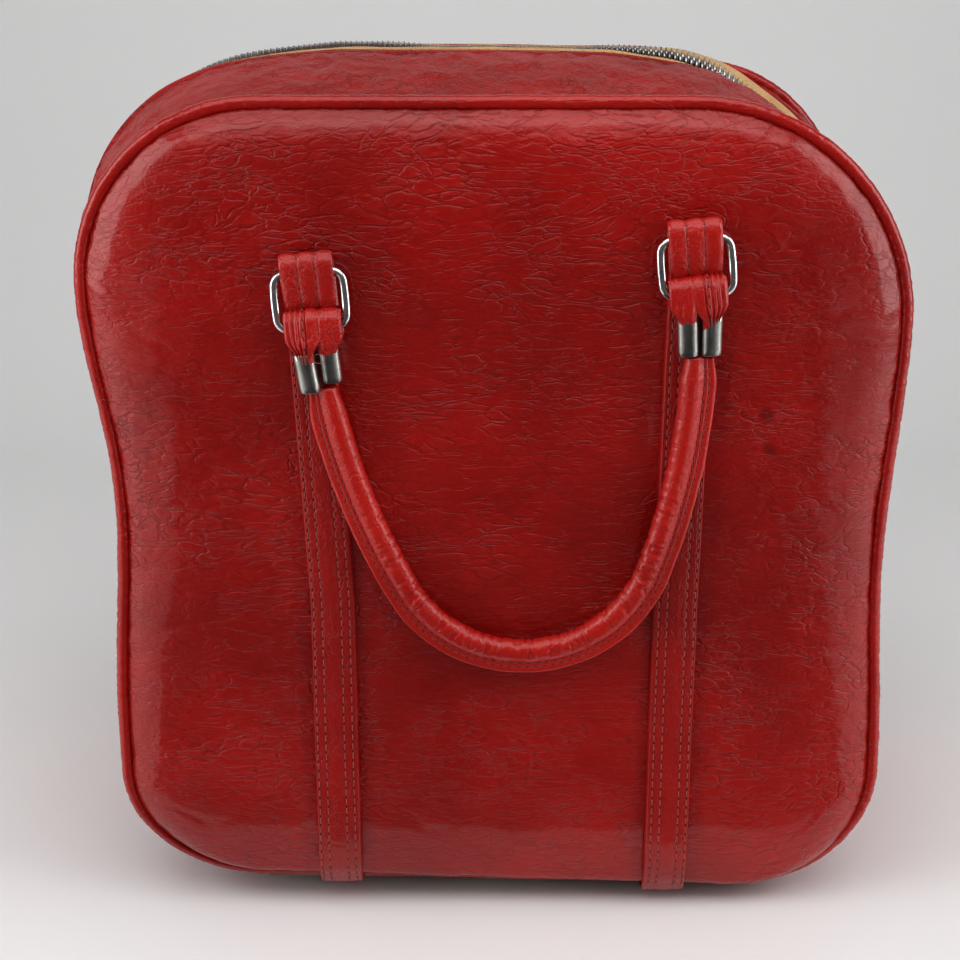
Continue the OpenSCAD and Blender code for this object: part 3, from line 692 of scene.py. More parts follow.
def welt(name, sign, materials, seed):
    """The piping: a wrapped cord right round the panel, with small gathers at its corners."""
    rim = Rim(1700)
    sides = 14
    turn = np.linspace(0, 2 * np.pi, sides, endpoint=False)
    shift = lean_x(100 if sign < 0 else -100)
    s = rim.s[:, None] + 0 * turn[None]
    where = np.stack([s, 3 * np.cos(turn)[None] + 0 * s, 3 * np.sin(turn)[None] + 0 * s], -1)
    r = PIPE_R + 0.05 + 0.13 * rough(where, 7, seed, 2) + 0.16 * rough(where, 40, seed + 1, 2)
    r -= 0.20 * creases(where, 9, seed + 2, 0.14)
    r += 0.22 * rough(where * [1, 0.35, 0.35], 2.3, seed + 5, 2)
    inward = 0.7 * np.exp(-((turn - np.pi) / 0.5) ** 2)[None]
    edge = rim.raised(sign, 0.72)
    base = np.clip(-rim.n[:, 1:], 0, 1) ** 1.5
    r = r * (1 - 0.28 * base)
    x = edge[:, :1] + rim.n[:, :1] * (r - inward) * np.cos(turn) + shift
    z = edge[:, 1:] + rim.n[:, 1:] * (r - inward) * np.cos(turn)
    y = FRONT_Y + 4.2 * base - (r * np.sin(turn)) + 0.5 * rough(where[..., :1] * [1.0, 0, 0], 60, seed + 3, 2)
    shell = Shell()
    shell.grid(np.stack([x, y, z], -1), loop_u=True, loop_v=True)
    return shell.piece(name, materials, mirror=sign < 0)


def hem_gap(rim, index, sign):
    """How far the back hem stands away from the teeth where the zipper slopes."""
    wide = 3.5 + 6.0 * rim.sink[index] / 6.5
    return (wide * rim.zip[2][index] / 6.5 * (sign < 0))[:, None]


def side_skin(rim, index, y, off, seed, sign):
    """Points of the gusset's outside with its soft waves, before mirroring."""
    gap = hem_gap(rim, index, sign) * np.exp(-((y + ZIP_GAP) / 20) ** 2)
    p = rim.skin(index[:, None], sign * (y - gap), off)
    p[..., 1] *= sign
    where = np.stack([rim.s[index][:, None] + 0 * y, y + 0 * p[..., 0], 0 * p[..., 0]], -1)
    middle = np.sin(np.pi * np.clip((y - SEAM_Y) / (-ZIP_GAP - SEAM_Y), 0, 1)) ** 0.5
    wave = 1.6 * rough(where * [1, 0.6, 1], 60, seed, 2) + 0.5 * rough(where, 19, seed + 1, 2)
    wave += 2.1 * rough(where * [1, 0.55, 1], 11, seed + 4, 3)
    near_seam = np.exp(-((y - SEAM_Y) / 9) ** 2)
    gathers = 1.3 * rough(where * [1, 0.25, 1], 8, seed + 2, 2) * near_seam
    by_hem = np.exp(-((y + 24) / 9.0) ** 2) * (1 - ease(np.clip((y + 19) / 4, 0, 1)))
    middle = middle * (1 - ease(np.clip((y + 21) / 6, 0, 1)))
    gathers = gathers + 0.9 * rough(where * [1, 0.30, 1], 5.5, seed + 3, 2) * by_hem
    push = middle * wave * 0.6 + gathers
    n = np.stack([rim.n[index, 0], 0 * rim.s[index], rim.n[index, 1]], -1)[:, None]
    return p + n * push[..., None]


STITCH_Y = (-13.2, -20.4)


def gusset_half(name, sign, materials, seed):
    """Half of the zipped gusset: from the piping to a folded hem with two rows of stitches."""
    rim = Rim(900)
    index = rim.above(FOLD_Z - 6)
    y = np.concatenate([np.linspace(-100.6, -96, 5), np.linspace(-93, -24, 34),
                        np.linspace(-22.5, -11.0, 24), [-10.2, -9.6]])
    off = np.full(len(y), 0.8)
    off -= 1.8 * np.exp(-((y - SEAM_Y + 2) / 2.0) ** 2)
    hem = ease(np.clip((y + 24) / 3, 0, 1))
    off -= 0.1 * hem
    for at in STITCH_Y:
        off -= 0.95 * np.exp(-((y - at) / 1.0) ** 2)
    off[-3:] -= [0.1, 0.3, 0.7]
    under_y = np.array([-9.5, -9.9, -11, -16, -30, -60, -95, -100.6])
    under = np.array([-0.4, -0.9, -1.0, -1.0, -0.7, -0.7, -0.7, -2.0])
    all_y = np.concatenate([y, under_y])
    all_off = np.concatenate([off, under])
    p = side_skin(rim, index, all_y[None], all_off[None], seed, sign)
    shell = Shell()
    shell.grid(p, loop_v=True, cap_u=True)
    for at in STITCH_Y:
        k = int(np.argmin(np.abs(y - at)))
        line = p[:, k]
        up = np.stack([rim.n[index, 0], 0 * rim.s[index], rim.n[index, 1]], -1)
        # These stitches take the near-black hem thread, painted shade.
        stitches(shell, line + 0.34 * up, up, 4.4, 0.42)
    return shell.piece(name, materials, mirror=sign < 0)


def base_skin(name, materials, seed):
    """The gusset under the bag and up both sides to the ends of the zipper."""
    rim = Rim(620)
    index = rim.below(FOLD_Z + 3)
    y = np.concatenate([np.linspace(-100.6, -95, 6), np.linspace(-92, 92, 62), np.linspace(95, 100.6, 6)])
    rise = np.clip((rim.p[index, 1] - (FOLD_Z - 14)) / 6, 0, 1)[:, None]
    off = 0.6 + 0.9 * ease(rise) - 1.6 * np.exp(-((np.abs(y)[None] + SEAM_Y + 2) / 2.0) ** 2)
    where = np.stack([rim.s[index][:, None] + 0 * y, y[None] + 0 * off, 0 * off], -1)
    low = 1 - ease(np.clip((rim.p[index, 1] - 12) / 20, 0, 1))[:, None]
    off = off + (1 - low) * (0.8 * rough(where, 60, seed, 2) + 0.3 * rough(where, 18, seed + 1, 2)) * 0.6
    under = off[:, ::-1] * 0 - 0.9 + 0.5 * ease(rise)
    p = np.concatenate([rim.skin(index[:, None], y[None], off),
                        rim.skin(index[:, None], y[None, ::-1], under)], 1)
    shell = Shell()
    shell.grid(p, loop_v=True, cap_u=True)
    for i in (3, len(index) - 4):
        inward = 1 if i == 3 else -1
        at = i + inward * 2
        line = p[at, 4:len(y) - 4]
        n = np.array([rim.n[index[at], 0], 0, rim.n[index[at], 1]])
        stitches(shell, line + 0.05 * n, np.repeat(n[None], len(line), 0), 4.4, 0.33)
    return shell.piece(name, materials)


# ---------------------------------------------------------------- zipper
def zip_tape(name, sign, materials):
    """One cotton tape of the zipper, with a beaded edge under the teeth."""
    rim = Rim(620)
    index = rim.above(FOLD_Z + 4)
    y = np.array([-14.0, -12, -9, -7, -5.2, -4.2, -3.4, -2.6, -1.9])
    top = np.array([-0.75, -0.55, -0.25, -0.1, -0.05, 0.1, 0.35, 0.35, 0.0])
    low = top[::-1] - np.array([0.4, 0.9, 0.9, 0.7, 0.6, 0.6, 0.6, 0.6, 0.5])
    raised = 1.1 * ease(np.clip((rim.p[index, 1] - 150) / 25, 0, 1))[:, None] - 0.25
    y = y[None] - hem_gap(rim, index, sign) * np.array([1, 1, 0.7, 0.4, 0.1, 0, 0, 0, 0])
    raised = raised * np.exp(-(y / 7) ** 2)
    p = np.concatenate([rim.skin(index[:, None], sign * y, top[None] + raised),
                        rim.skin(index[:, None], sign * y[:, ::-1], low[None] + raised[:, ::-1])], 1)
    ripple = 0.16 * np.sin(rim.s[index] * 2 * np.pi / 2.3)
    n = np.stack([rim.n[index, 0], 0 * rim.s[index], rim.n[index, 1]], -1)
    p += (ripple[:, None] * n)[:, None]
    shell = Shell()
    shell.grid(p, loop_v=True, cap_u=True)
    return shell.piece(name, materials)


TOOTH_PITCH = 2.45


def zip_teeth(name, sign, materials):
    """One row of zipper teeth: each is a clamped foot, a neck and a cupped head past the middle."""
    rim = Rim(1600)
    index = rim.above(FOLD_Z + 8)
    s = rim.s[index]
    raised = 1.1 * rim.zip[3][index] * ease(np.clip((rim.p[index, 1] - 150) / 25, 0, 1))
    line = rim.skin(index, np.zeros(len(index)), raised)
    normal = np.stack([rim.n[index, 0], 0 * s, rim.n[index, 1]], -1)
    slope = rim.zip[0][index]
    at = np.arange(s[0] + 1, s[-1] - 1, TOOTH_PITCH) + (TOOTH_PITCH / 2 if sign > 0 else 0)
    outline = [(3.2, 0.36, 1.1), (2.6, 0.52, 1.6), (1.6, 0.52, 1.7), (0.9, 0.40, 1.5),
               (0.2, 0.54, 1.6), (-0.55, 0.52, 1.4), (-0.9, 0.32, 1.1)]
    shell = Shell()
    for k, x in enumerate(at):
        c = np.array([np.interp(x, s, line[:, j]) for j in range(3)])
        n = unit(np.array([np.interp(x, s, normal[:, j]) for j in range(3)]))
        along = np.array([-n[2], 0, n[0]])
        wobble = 0.05 * math.sin(k * 2.399)
        loops = []
        for y, half, high in outline:
            corners = [(-half, -0.8), (-half, high * 0.72), (-half * 0.62, high), (half * 0.62, high),
                       (half, high * 0.72), (half, -0.8)]
            tilt = 0.35 - sign * y * float(np.interp(x, s, slope))
            loops.append([c + [0, -sign * y, 0] + along * (a + wobble) + n * (h + tilt) for a, h in corners])
        shell.grid(np.array(loops), loop_v=True, cap_u=True)
    return shell.piece(name, materials, sharp=35)


def zip_tab(name, side, materials):
    """A stitched tab over the foot of the zipper."""
    rim = Rim(1600)
    index = np.where((rim.p[:, 1] > FOLD_Z - 13) & (rim.p[:, 1] < FOLD_Z + 3)
                     & ((rim.p[:, 0] - MID_X) * side > 0))[0]
    u = np.linspace(-1, 1, 25)
    v = np.linspace(-1, 1, len(index))[:, None]
    width = 12.4 * np.sqrt(np.clip(1 - 0.22 * np.clip(-v * side * side, 0, 1) ** 4, 0.1, 1))
    edge = np.maximum(np.abs(u)[None], np.abs(v)) ** 14
    groove = np.exp(-((np.maximum(np.abs(u)[None], np.abs(v)) - 0.80) / 0.05) ** 2)
    top = 2.9 - 1.2 * edge - 0.35 * groove
    y = u[None] * width
    p = np.concatenate([rim.skin(index[:, None], y, top),
                        rim.skin(index[:, None], y[:, ::-1], 0 * top + 1.2)], 1)
    shell = Shell()
    shell.grid(p, loop_v=True, cap_u=True)
    n = np.stack([rim.n[index, 0], 0 * index, rim.n[index, 1]], -1)
    for k in (2, 22):
        stitches(shell, p[2:-2, k], n[2:-2], 3.6, 0.3)
    return shell.piece(name, materials)


# ---------------------------------------------------------------- straps, loops and rings
ROWS = (0.09, 0.27, 0.68, 0.86)


def strap_section(w, t):
    """Closed section of a strap as (across, out), with four stitch grooves and rolled edges."""
    u = np.linspace(0, 1, 61)
    high = t * (0.90 + 0.10 * np.sin(np.pi * u) ** 0.6)
    high = high + 0.07 * np.exp(-((u - 0.475) / 0.12) ** 2)
    high -= 0.085 * sum(np.exp(-((u - r) / 0.022) ** 2) for r in ROWS)
    edge = np.clip(np.minimum(u, 1 - u) / 0.055, 0, 1)
    high = high * np.sqrt(np.clip(1 - (1 - edge) ** 2, 0, 1)) * 1.0
    high = np.maximum(high, t * 0.30)
    top = np.stack([(u - 0.5) * w, high], 1)
    low = np.array([[0.5 * w, 0.0], [0.2 * w, -0.4], [-0.2 * w, -0.4], [-0.5 * w, 0.0]])
    return np.vstack([top, low])


def strap(name, k, sign, materials, seed):
    """A strap from the ring's loop down the panel, round the edge and under the base."""
    top = RING_AXIS[k][2] - 10
    lift = float(base_lift(STRAP_LOW_X[k]))
    route = [(STRAP_BACK + 0.4, top), (STRAP_BACK + 0.4, 240), (STRAP_BACK + 0.4, 140),
             (STRAP_BACK + 0.4, 66), (STRAP_BACK + 0.6, 36 + 0.4 * lift), (STRAP_BACK + 1.8, 20 + 0.8 * lift),
             (STRAP_BACK + 4.2, 12.4 + lift), (STRAP_BACK + 8.0, 6.4 + lift), (STRAP_BACK + 13.2, 4.0 + lift),
             (-90, 2.6 + 0.6 * lift), (-70, 3.4), (-30, 3.4), (0, 3.4)]
    line = curve_through(route, 520)
    z = line[:, 1]
    x = strap_side_x(k, z)
    path = np.stack([x, line[:, 0], z], 1)
    flow = unit(np.gradient(path, axis=0))
    across = np.repeat([[1.0, 0, 0]], len(path), 0)
    across = unit(across - flow * np.sum(across * flow, 1, keepdims=True))
    out = np.cross(across, flow)
    out *= np.sign(out[0] @ [0, -1, 0])
    section = strap_section(STRAP_W, 1.0)
    thick = STRAP_T - 1.5 * ease(np.clip((30 - z) / 24, 0, 1)) * (path[:, 1] > STRAP_BACK + 1)
    if k > 0:
        section[:, 0] *= -1
    sections = np.repeat(section[None], len(path), 0)
    sections[..., 1] *= thick[:, None]
    s = np.concatenate([[0], np.cumsum(np.linalg.norm(np.diff(path, axis=0), axis=1))])
    where = np.stack([s[:, None] + 0 * section[:, 0], section[:, 0] + 0 * s[:, None], 0 * s[:, None] + seed
                      + 0 * section[:, 0]], -1)
    bumps = 0.13 * rough(where * [0.8, 1.2, 1], 9, seed, 2) + 0.20 * rough(where, 40, seed + 1, 2)
    bumps -= 0.12 * creases(where * [1, 0.4, 1], 7, seed + 2, 0.15)
    sections[..., 1] += bumps * (section[:, 1] > 0.2)
    sections[..., 0] += 0.25 * rough(where[:, :1] * [1, 0, 1], 70, seed + 3, 2)
    shell = Shell()
    p = swept(path, across, out, sections)
    shell.grid(p, loop_v=True, cap_u=True)
    for r in ROWS:
        at = int(round(r * 60))
        row = p[8:384, at] + out[8:384] * 0.10
        stitches(shell, row, out[8:384], 4.75, 0.34)
    return shell.piece(name, materials, mirror=sign < 0)


def ring_place(k, points, lean=0.0):
    """From a ring's own frame, (across, towards the back, up), to the bag's frame."""
    c, s = math.cos(lean), math.sin(lean)
    x, y, z = points[..., 0], points[..., 1], points[..., 2]
    y, z = y * c + z * s, z * c - y * s
    return RING_AXIS[k] + x[..., None] * SLOPE_X + y[..., None] * SLOPE_Y + z[..., None] * SLOPE_Z


def loop_tab(name, k, sign, materials, seed):
    """The folded tab that holds a ring: three puffed columns between two lines of stitches."""
    route = [(0.2, -18.8), (-1.2, -15), (-2.4, -11), (-3.0, -6), (-3.1, 0), (-2.9, 4.2), (-1.0, 7.2), (1.6, 7.4),
             (3.6, 4.6), (4.4, 0), (4.4, -7), (4.2, -16)]
    line = curve_through(route, 90)
    flow = unit(np.gradient(line, axis=0))
    out = np.stack([-flow[:, 1], flow[:, 0]], 1)
    u = np.linspace(0, 1, 49)
    columns = np.abs(np.sin(3 * np.pi * u)) ** 0.55
    edge = np.clip(np.minimum(u, 1 - u) / 0.07, 0, 1)
    fat = 0.45 + 0.85 * columns * np.sqrt(np.clip(1 - (1 - edge) ** 2, 0.05, 1))
    t = np.linspace(0, 1, len(line))[:, None]
    width = (22.6 - 1.6 * np.clip(1 - t / 0.35, 0, 1))
    x = (u[None] - 0.5) * width
    where = np.stack([x, 30 * t + 0 * x, 0 * x], -1)
    bump = 0.22 * rough(where, 6, seed, 2) - 0.16 * creases(where * [0.6, 1.2, 1], 6, seed + 1, 0.14)
    high = fat[None] + bump * (edge > 0.6)
    top = np.stack([x, line[:, :1] + out[:, :1] * high, line[:, 1:] + out[:, 1:] * high], -1)
    low_x = x[:, ::-1][:, ::8] * 0.985
    low = np.stack([low_x, line[:, :1] - out[:, :1] * 0.85 + 0 * low_x,
                    line[:, 1:] - out[:, 1:] * 0.85 + 0 * low_x], -1)
    p = ring_place(k, np.concatenate([top, low], 1))
    shell = Shell()
    shell.grid(p, loop_v=True, cap_u=True)
    normal = ring_place(k, np.stack([0 * out[:, 0], out[:, 0], out[:, 1]], -1)) - RING_AXIS[k]
    for at in (16, 32):
        stitches(shell, p[1:56, at] + normal[1:56] * 0.05, normal[1:56], 4.3, 0.28)
    return shell.piece(name, materials, mirror=sign < 0)


def ring(name, k, sign, materials):
    """A rectangular wire ring with soft corners, bowed sides and a slightly flattened wire."""
    w, h, r = RING_W / 2, RING_H, RING_CORNER
    corners = [(w - r, -r, 90, 0), (w - r, -h + r, 0, -90), (-w + r, -h + r, -90, -180),
               (-w + r, -r, 180, 90)]
    line = np.vstack([arc(cx, cz, r, a0, a1, 14) for cx, cz, a0, a1 in corners])
    line, _ = resample(line, 160, closed=True)
    d = unit(np.roll(line, -1, 0) - np.roll(line, 1, 0))
    n = np.stack([-d[:, 1], d[:, 0]], 1)
    bow = 0.55 * np.sin(np.pi * np.clip(-line[:, 1] / h, 0, 1)) * np.sign(line[:, 0]) * (np.abs(line[:, 0]) > w - 2)
    line[:, 0] += bow
    turn = np.linspace(0, 2 * np.pi, 20, endpoint=False)
    c = np.sign(np.cos(turn)) * np.abs(np.cos(turn)) ** 0.85 * WIRE_R * 1.18
    s = np.sign(np.sin(turn)) * np.abs(np.sin(turn)) ** 0.85 * WIRE_R
    x = line[:, :1] + n[:, :1] * c
    z = line[:, 1:] + n[:, 1:] * c
    shell = Shell()
    shell.grid(ring_place(k, np.stack([x, s + 0 * x, z], -1), LEAN), loop_u=True, loop_v=True)
    return shell.piece(name, materials, mirror=sign < 0)


# ---------------------------------------------------------------- handles
HANDLE_SIDE_R = ((RING_SPAN**2 + (HANDLE_DROP - HANDLE_BEND) ** 2 - HANDLE_BEND**2)
                 / (2 * (RING_SPAN - HANDLE_BEND)))
SIDE_END = math.degrees(math.atan2(HANDLE_DROP - HANDLE_BEND, HANDLE_SIDE_R - RING_SPAN))
SIDE_START = math.degrees(math.asin((GRIP_TOP - 2.5) / HANDLE_SIDE_R))


def handle_place(points):
    x, y, z = points[..., 0], points[..., 1], points[..., 2]
    return HANDLE_AT + x[..., None] * SLOPE_X + y[..., None] * SLOPE_Y + z[..., None] * SLOPE_Z


def grip_line():
    """The handle's middle line and its outward normals in the handle's plane, right end first."""
    right = arc(RING_SPAN - HANDLE_SIDE_R, 0, HANDLE_SIDE_R, -SIDE_START, -SIDE_END, 120)
    bottom = arc(0, HANDLE_BEND - HANDLE_DROP, HANDLE_BEND, -SIDE_END, SIDE_END - 180, 160)
    left = right[::-1] * [-1, 1]
    line, s = resample(np.vstack([right, bottom[1:-1], left]), 460)
    d = unit(np.gradient(line, axis=0))
    for _ in range(12):
        d[1:-1] = unit((d[:-2] + 2 * d[1:-1] + d[2:]) / 4)
    return line, np.stack([-d[:, 1], d[:, 0]], 1), s


def grip_section():
    """Closed section of the handle: a plain roll, two stitch grooves and three layers at the edge."""
    a = np.radians(np.linspace(44, 316, 45))
    roll = np.stack([-2.55 + 5.2 * np.cos(a), 5.2 * np.sin(a)], 1)
    half = np.array([[7.70, 0.35], [7.60, 0.85], [6.70, 1.02], [6.75, 1.18], [7.75, 1.35], [7.70, 2.05],
                     [6.85, 2.20], [6.85, 2.32], [7.35, 2.45], [7.10, 2.85], [6.4, 2.98], [5.6, 2.95],
                     [4.95, 2.85], [4.55, 2.45], [4.15, 2.85], [3.6, 3.05], [3.0, 2.95], [2.55, 2.55],
                     [2.15, 2.95], [1.7, 3.30]])
    return np.vstack([half, roll, half[::-1] * [1, -1]])


def grip(name, sign, materials, seed):
    line, normal, s = grip_line()
    if normal[len(normal) // 2][1] > 0:
        normal = -normal
    section = grip_section()
    path = np.stack([line[:, 0], 0 * s, line[:, 1]], 1)
    out = np.stack([normal[:, 0], 0 * s, normal[:, 1]], 1)
    sections = np.repeat(section[None], len(path), 0)
    angle = np.arctan2(section[:, 1], section[:, 0] + 2.55)
    where = np.stack([s[:, None] + 0 * angle, 5 * np.cos(angle)[None] + 0 * s[:, None],
                      5 * np.sin(angle)[None] + 0 * s[:, None]], -1)
    bent = ease(np.clip((s / s[-1] - 0.12) / 0.16, 0, 1)) * ease(np.clip((0.88 - s / s[-1]) / 0.16, 0, 1))
    on_roll = np.clip((1.9 - section[:, 0]) / 2.5, 0, 1)[None]
    folds = creases(where * [1, 0.22, 0.22], 4.6, seed, 0.30)
    push = (0.34 * rough(where * [1, 0.3, 0.3], 4, seed + 1, 2) - 0.85 * folds) * (0.25 + 0.75 * bent[:, None])
    push = push * on_roll + 0.12 * rough(where, 22, seed + 2, 2)
    centre = np.array([-2.55, 0.0])
    direction = unit(section - centre)
    sections = sections + direction[None] * push[..., None]
    layer = (section[:, 0] > 6.3)[None]
    sections[..., 0] += layer * 0.30 * rough(where * [1, 1.5, 1.5], 15, seed + 3, 2)
    end = np.minimum(s, s[-1] - s)
    squeeze = 0.80 + 0.20 * ease(np.clip(end / 12, 0, 1))
    sections *= squeeze[:, None, None]
    wide = np.repeat([[0.0, 1.0, 0.0]], len(path), 0)
    p = path[:, None] + out[:, None] * sections[..., :1] + wide[:, None] * sections[..., 1:]
    shell = Shell()
    shell.grid(handle_place(p), loop_v=True, cap_u=True)
    shell.slots = [0] * len(shell.slots)
    m = len(section)
    edge_slot = np.array([1 if section[i, 0] > 6.6 and section[(i + 1) % m, 0] > 6.6 else 0 for i in range(m)])
    shell.slots[:(len(path) - 1) * m] = np.tile(edge_slot, len(path) - 1).tolist()
    placed = handle_place(p)
    for at in (13, 17, m - 14, m - 18):
        up = np.repeat([[0.0, math.copysign(1, section[at, 1]), 0.0]], len(path), 0)
        stitches(shell, placed[5:-5, at] + up[5:-5] * 0.12, up[5:-5], 3.9, 0.27, thread=2, hole_shade=3)
    return shell.piece(name, materials, mirror=sign < 0)


def strand(shell, side, s, outer, seed, dy, dz):
    """One gathered half of a handle end: over the ring's lower bar, down both sides, into a ferrule."""
    route = [(2.2 + dy, -13.5 + dz), (2.6 + dy * 0.7, -9.5), (3.4, -4), (3.6, 1), (2.9, 4.8), (0, 6.6),
             (-2.9, 4.9), (-4.1, 1.2), (-4.4 + dy * 0.3, -4), (-3.2 + dy * 0.7, -9), (-2.0 + dy, -13.5 + dz)]
    line = curve_through(route, 120)
    flow = unit(np.gradient(line, axis=0))
    out = np.stack([flow[:, 1], -flow[:, 0]], 1)
    t = np.linspace(0, 1, len(line))
    down = np.clip((-3.0 - line[:, 1]) / 8.0, 0, 1)
    narrow = ease(down)
    u = np.linspace(-1, 1, 61)
    wide, middle = (7.7, 4.6) if outer else (5.9, 6.3)
    half = wide + (3.75 - wide) * narrow
    centre = s * (middle + (4.8 - middle) * narrow)
    x = centre[:, None] + half[:, None] * u[None]
    round_off = np.sqrt(np.clip(1 - np.abs(u) ** 3.2, 0, 1))
    thin = (2.0 if outer else 1.4) + 0.2 * narrow
    high = thin[:, None] * round_off[None] + 0.15
    high = high + (0.9 * np.sin(np.pi * np.clip(down, 0, 1)))[:, None] * np.cos(u * np.pi / 2)[None]
    across = u * s
    if outer:
        drift = 0.05 * np.sin(7 * t + seed)[:, None]
        pleats = sum(np.exp(-((across[None] - c - drift) / 0.07) ** 2) for c in (-0.22, 0.12, 0.42, 0.68))
        high = high - (0.75 + 0.75 * down)[:, None] * pleats
    else:
        high = high - (0.5 * down)[:, None] * np.exp(-((across - 0.35) / 0.10) ** 2)[None]
    where = np.stack([x, 24 * t[:, None] + 0 * x, 0 * x], -1)
    high = high + 0.45 * rough(where * [1.3, 0.5, 1], 5, seed, 3) * round_off[None]
    high = high - 0.25 * creases(where * [1.2, 0.45, 1], 6, seed + 1, 0.16) * round_off[None]
    top = np.stack([x, line[:, :1] + out[:, :1] * high, line[:, 1:] + out[:, 1:] * high], -1)
    low_x = x[:, ::-1][:, ::8]
    low = np.stack([low_x, line[:, :1] - out[:, :1] * 1.2 + 0 * low_x,
                    line[:, 1:] - out[:, 1:] * 1.2 + 0 * low_x], -1)
    p = np.concatenate([top, low], 1)
    p[..., 0] += side * (RING_SPAN - 0.5)
    shell.grid(handle_place(p), loop_v=True, cap_u=True)
    if outer:
        at = int(np.argmin(np.abs(across + 0.05)))
        row = handle_place(p)[50:114, at]
        normal = handle_place(np.stack([0 * out[:, 0], out[:, 0], out[:, 1]], -1))[50:114] - HANDLE_AT
        stitches(shell, row + normal * 0.05, normal, 4.2, 0.27)


def handle_end(name, side, sign, materials, seed):
    shell = Shell()
    for s in (-1, 1):
        outer = s == side
        dy, dz = tilt_of(side, s)
        strand(shell, side, s, outer, seed + s, dy, dz)
    return shell.piece(name, materials, mirror=sign < 0)


def tilt_of(side, s):
    """How far a ferrule stands to the front and up: the left pair is twisted, the right pair level."""
    if side < 0:
        return (-1.3, -1.4) if s < 0 else (1.2, 1.6)
    return (-0.3, 0.3) if s < 0 else (0.2, -0.3)


def ferrules(name, side, sign, materials, seed):
    """Two squarish steel tubes crimped round the strands, with worn, slightly rolled ends."""
    shell = Shell()
    turn = np.linspace(0, 2 * np.pi, 48, endpoint=False)
    for s in (-1, 1):
        dy, dz = tilt_of(side, s)
        z = np.array([-8.3, -8.4, -8.1, -6, -3, 0, 3, 6, 8.1, 8.4, 8.3])
        r = np.array([4.10, 4.35, 4.62, 4.72, 4.70, 4.66, 4.70, 4.74, 4.66, 4.35, 4.10])
        square = (np.abs(np.cos(turn)) ** 2.9 + np.abs(np.sin(turn)) ** 2.9) ** (-1 / 2.9)
        dent = 0.10 * rough(np.stack([4 * np.cos(turn)[None] + 0 * z[:, None],
                                      4 * np.sin(turn)[None] + 0 * z[:, None],
                                      z[:, None] + 0 * turn[None]], -1), 5, seed + s, 2)
        spin = math.radians(7 * s - 4 * side)
        rings = []
        for z_list, r_list, push in ((z, r, dent), (z[::-1], np.full(len(z), 4.02), 0 * dent)):
            radius = r_list[:, None] * square[None] * 0.965 + push
            rings.append(np.stack([radius * np.cos(turn + spin), radius * np.sin(turn + spin),
                                   z_list[:, None] + 0 * turn[None]], -1))
        p = np.concatenate(rings)
        p = p + [side * (RING_SPAN - 0.5) + s * 4.85, dy, -17.2 + dz]
        p[..., 0] += (p[..., 2] + 17.2) * (0.02 * s + 0.05 * side)
        shell.grid(handle_place(p), loop_u=True, loop_v=True)
    return shell.piece(name, materials, mirror=sign < 0, sharp=50)


def loose_thread(name, materials):
    """The loop of loose thread at the left ferrules."""
    t = np.linspace(0, 1, 60)[:, None]
    ring_part = np.concatenate([-2.2 + 2.6 * np.cos(2 * np.pi * t * 0.93 + 2.6),
                                -8.0 - 1.2 * np.sin(np.pi * t),
                                -11.2 + 1.9 * np.sin(2 * np.pi * t * 0.93 + 2.6)], 1)
    lead = np.array([[-4.6, -5.6, -8.0], [-4.9, -6.8, -9.6]])
    line = curve_through(np.vstack([lead, ring_part]), 120)
    line[:, 0] += -RING_SPAN + 4.2
    d = unit(np.gradient(line, axis=0))
    side = unit(np.cross(d, [0, 1, 0]))
    up = np.cross(side, d)
    turn = np.linspace(0, 2 * np.pi, 6, endpoint=False)
    tube = (line[:, None] + side[:, None] * (0.14 * np.cos(turn))[None, :, None]
            + up[:, None] * (0.14 * np.sin(turn))[None, :, None])
    shell = Shell()
    shell.grid(handle_place(tube), loop_v=True, cap_u=True)
    return shell.piece(name, materials)


# ---------------------------------------------------------------- inside
def inner_sheet(name, node, sign, thick, inset, bottom, materials, seed, sag=1.0):
    """A board or lining behind a panel: the panel's own outline, drawn in, with a soft surface."""
    low, high = box_mm(node)
    rim = Rim(360)
    p = rim.p - rim.n * inset
    p[:, 1] = np.maximum(p[:, 1], bottom)
    centre = np.array([MID_X, MID_Z])
    y0 = (low[1] + high[1]) / 2 * sign
    layers = []
    for push in (-thick / 2, thick / 2):
        rings = [centre + (p - centre) * t for t in np.linspace(1, 0.04, 40)]
        flat = np.array(rings)
        where = np.stack([flat[..., 0], 0 * flat[..., 0], flat[..., 1]], -1)
        wave = sag * (0.5 * rough(where, 50, seed, 2) + 0.2 * rough(where, 16, seed + 1, 2))
        layers.append(np.stack([flat[..., 0], y0 + push + np.maximum(wave, -0.5) * 1.0, flat[..., 1]], -1))
    whole = np.concatenate([layers[0][::-1], layers[1]])
    shell = Shell()
    shell.grid(whole, loop_v=True, cap_u=True)
    return shell.piece(name, materials, mirror=sign < 0)


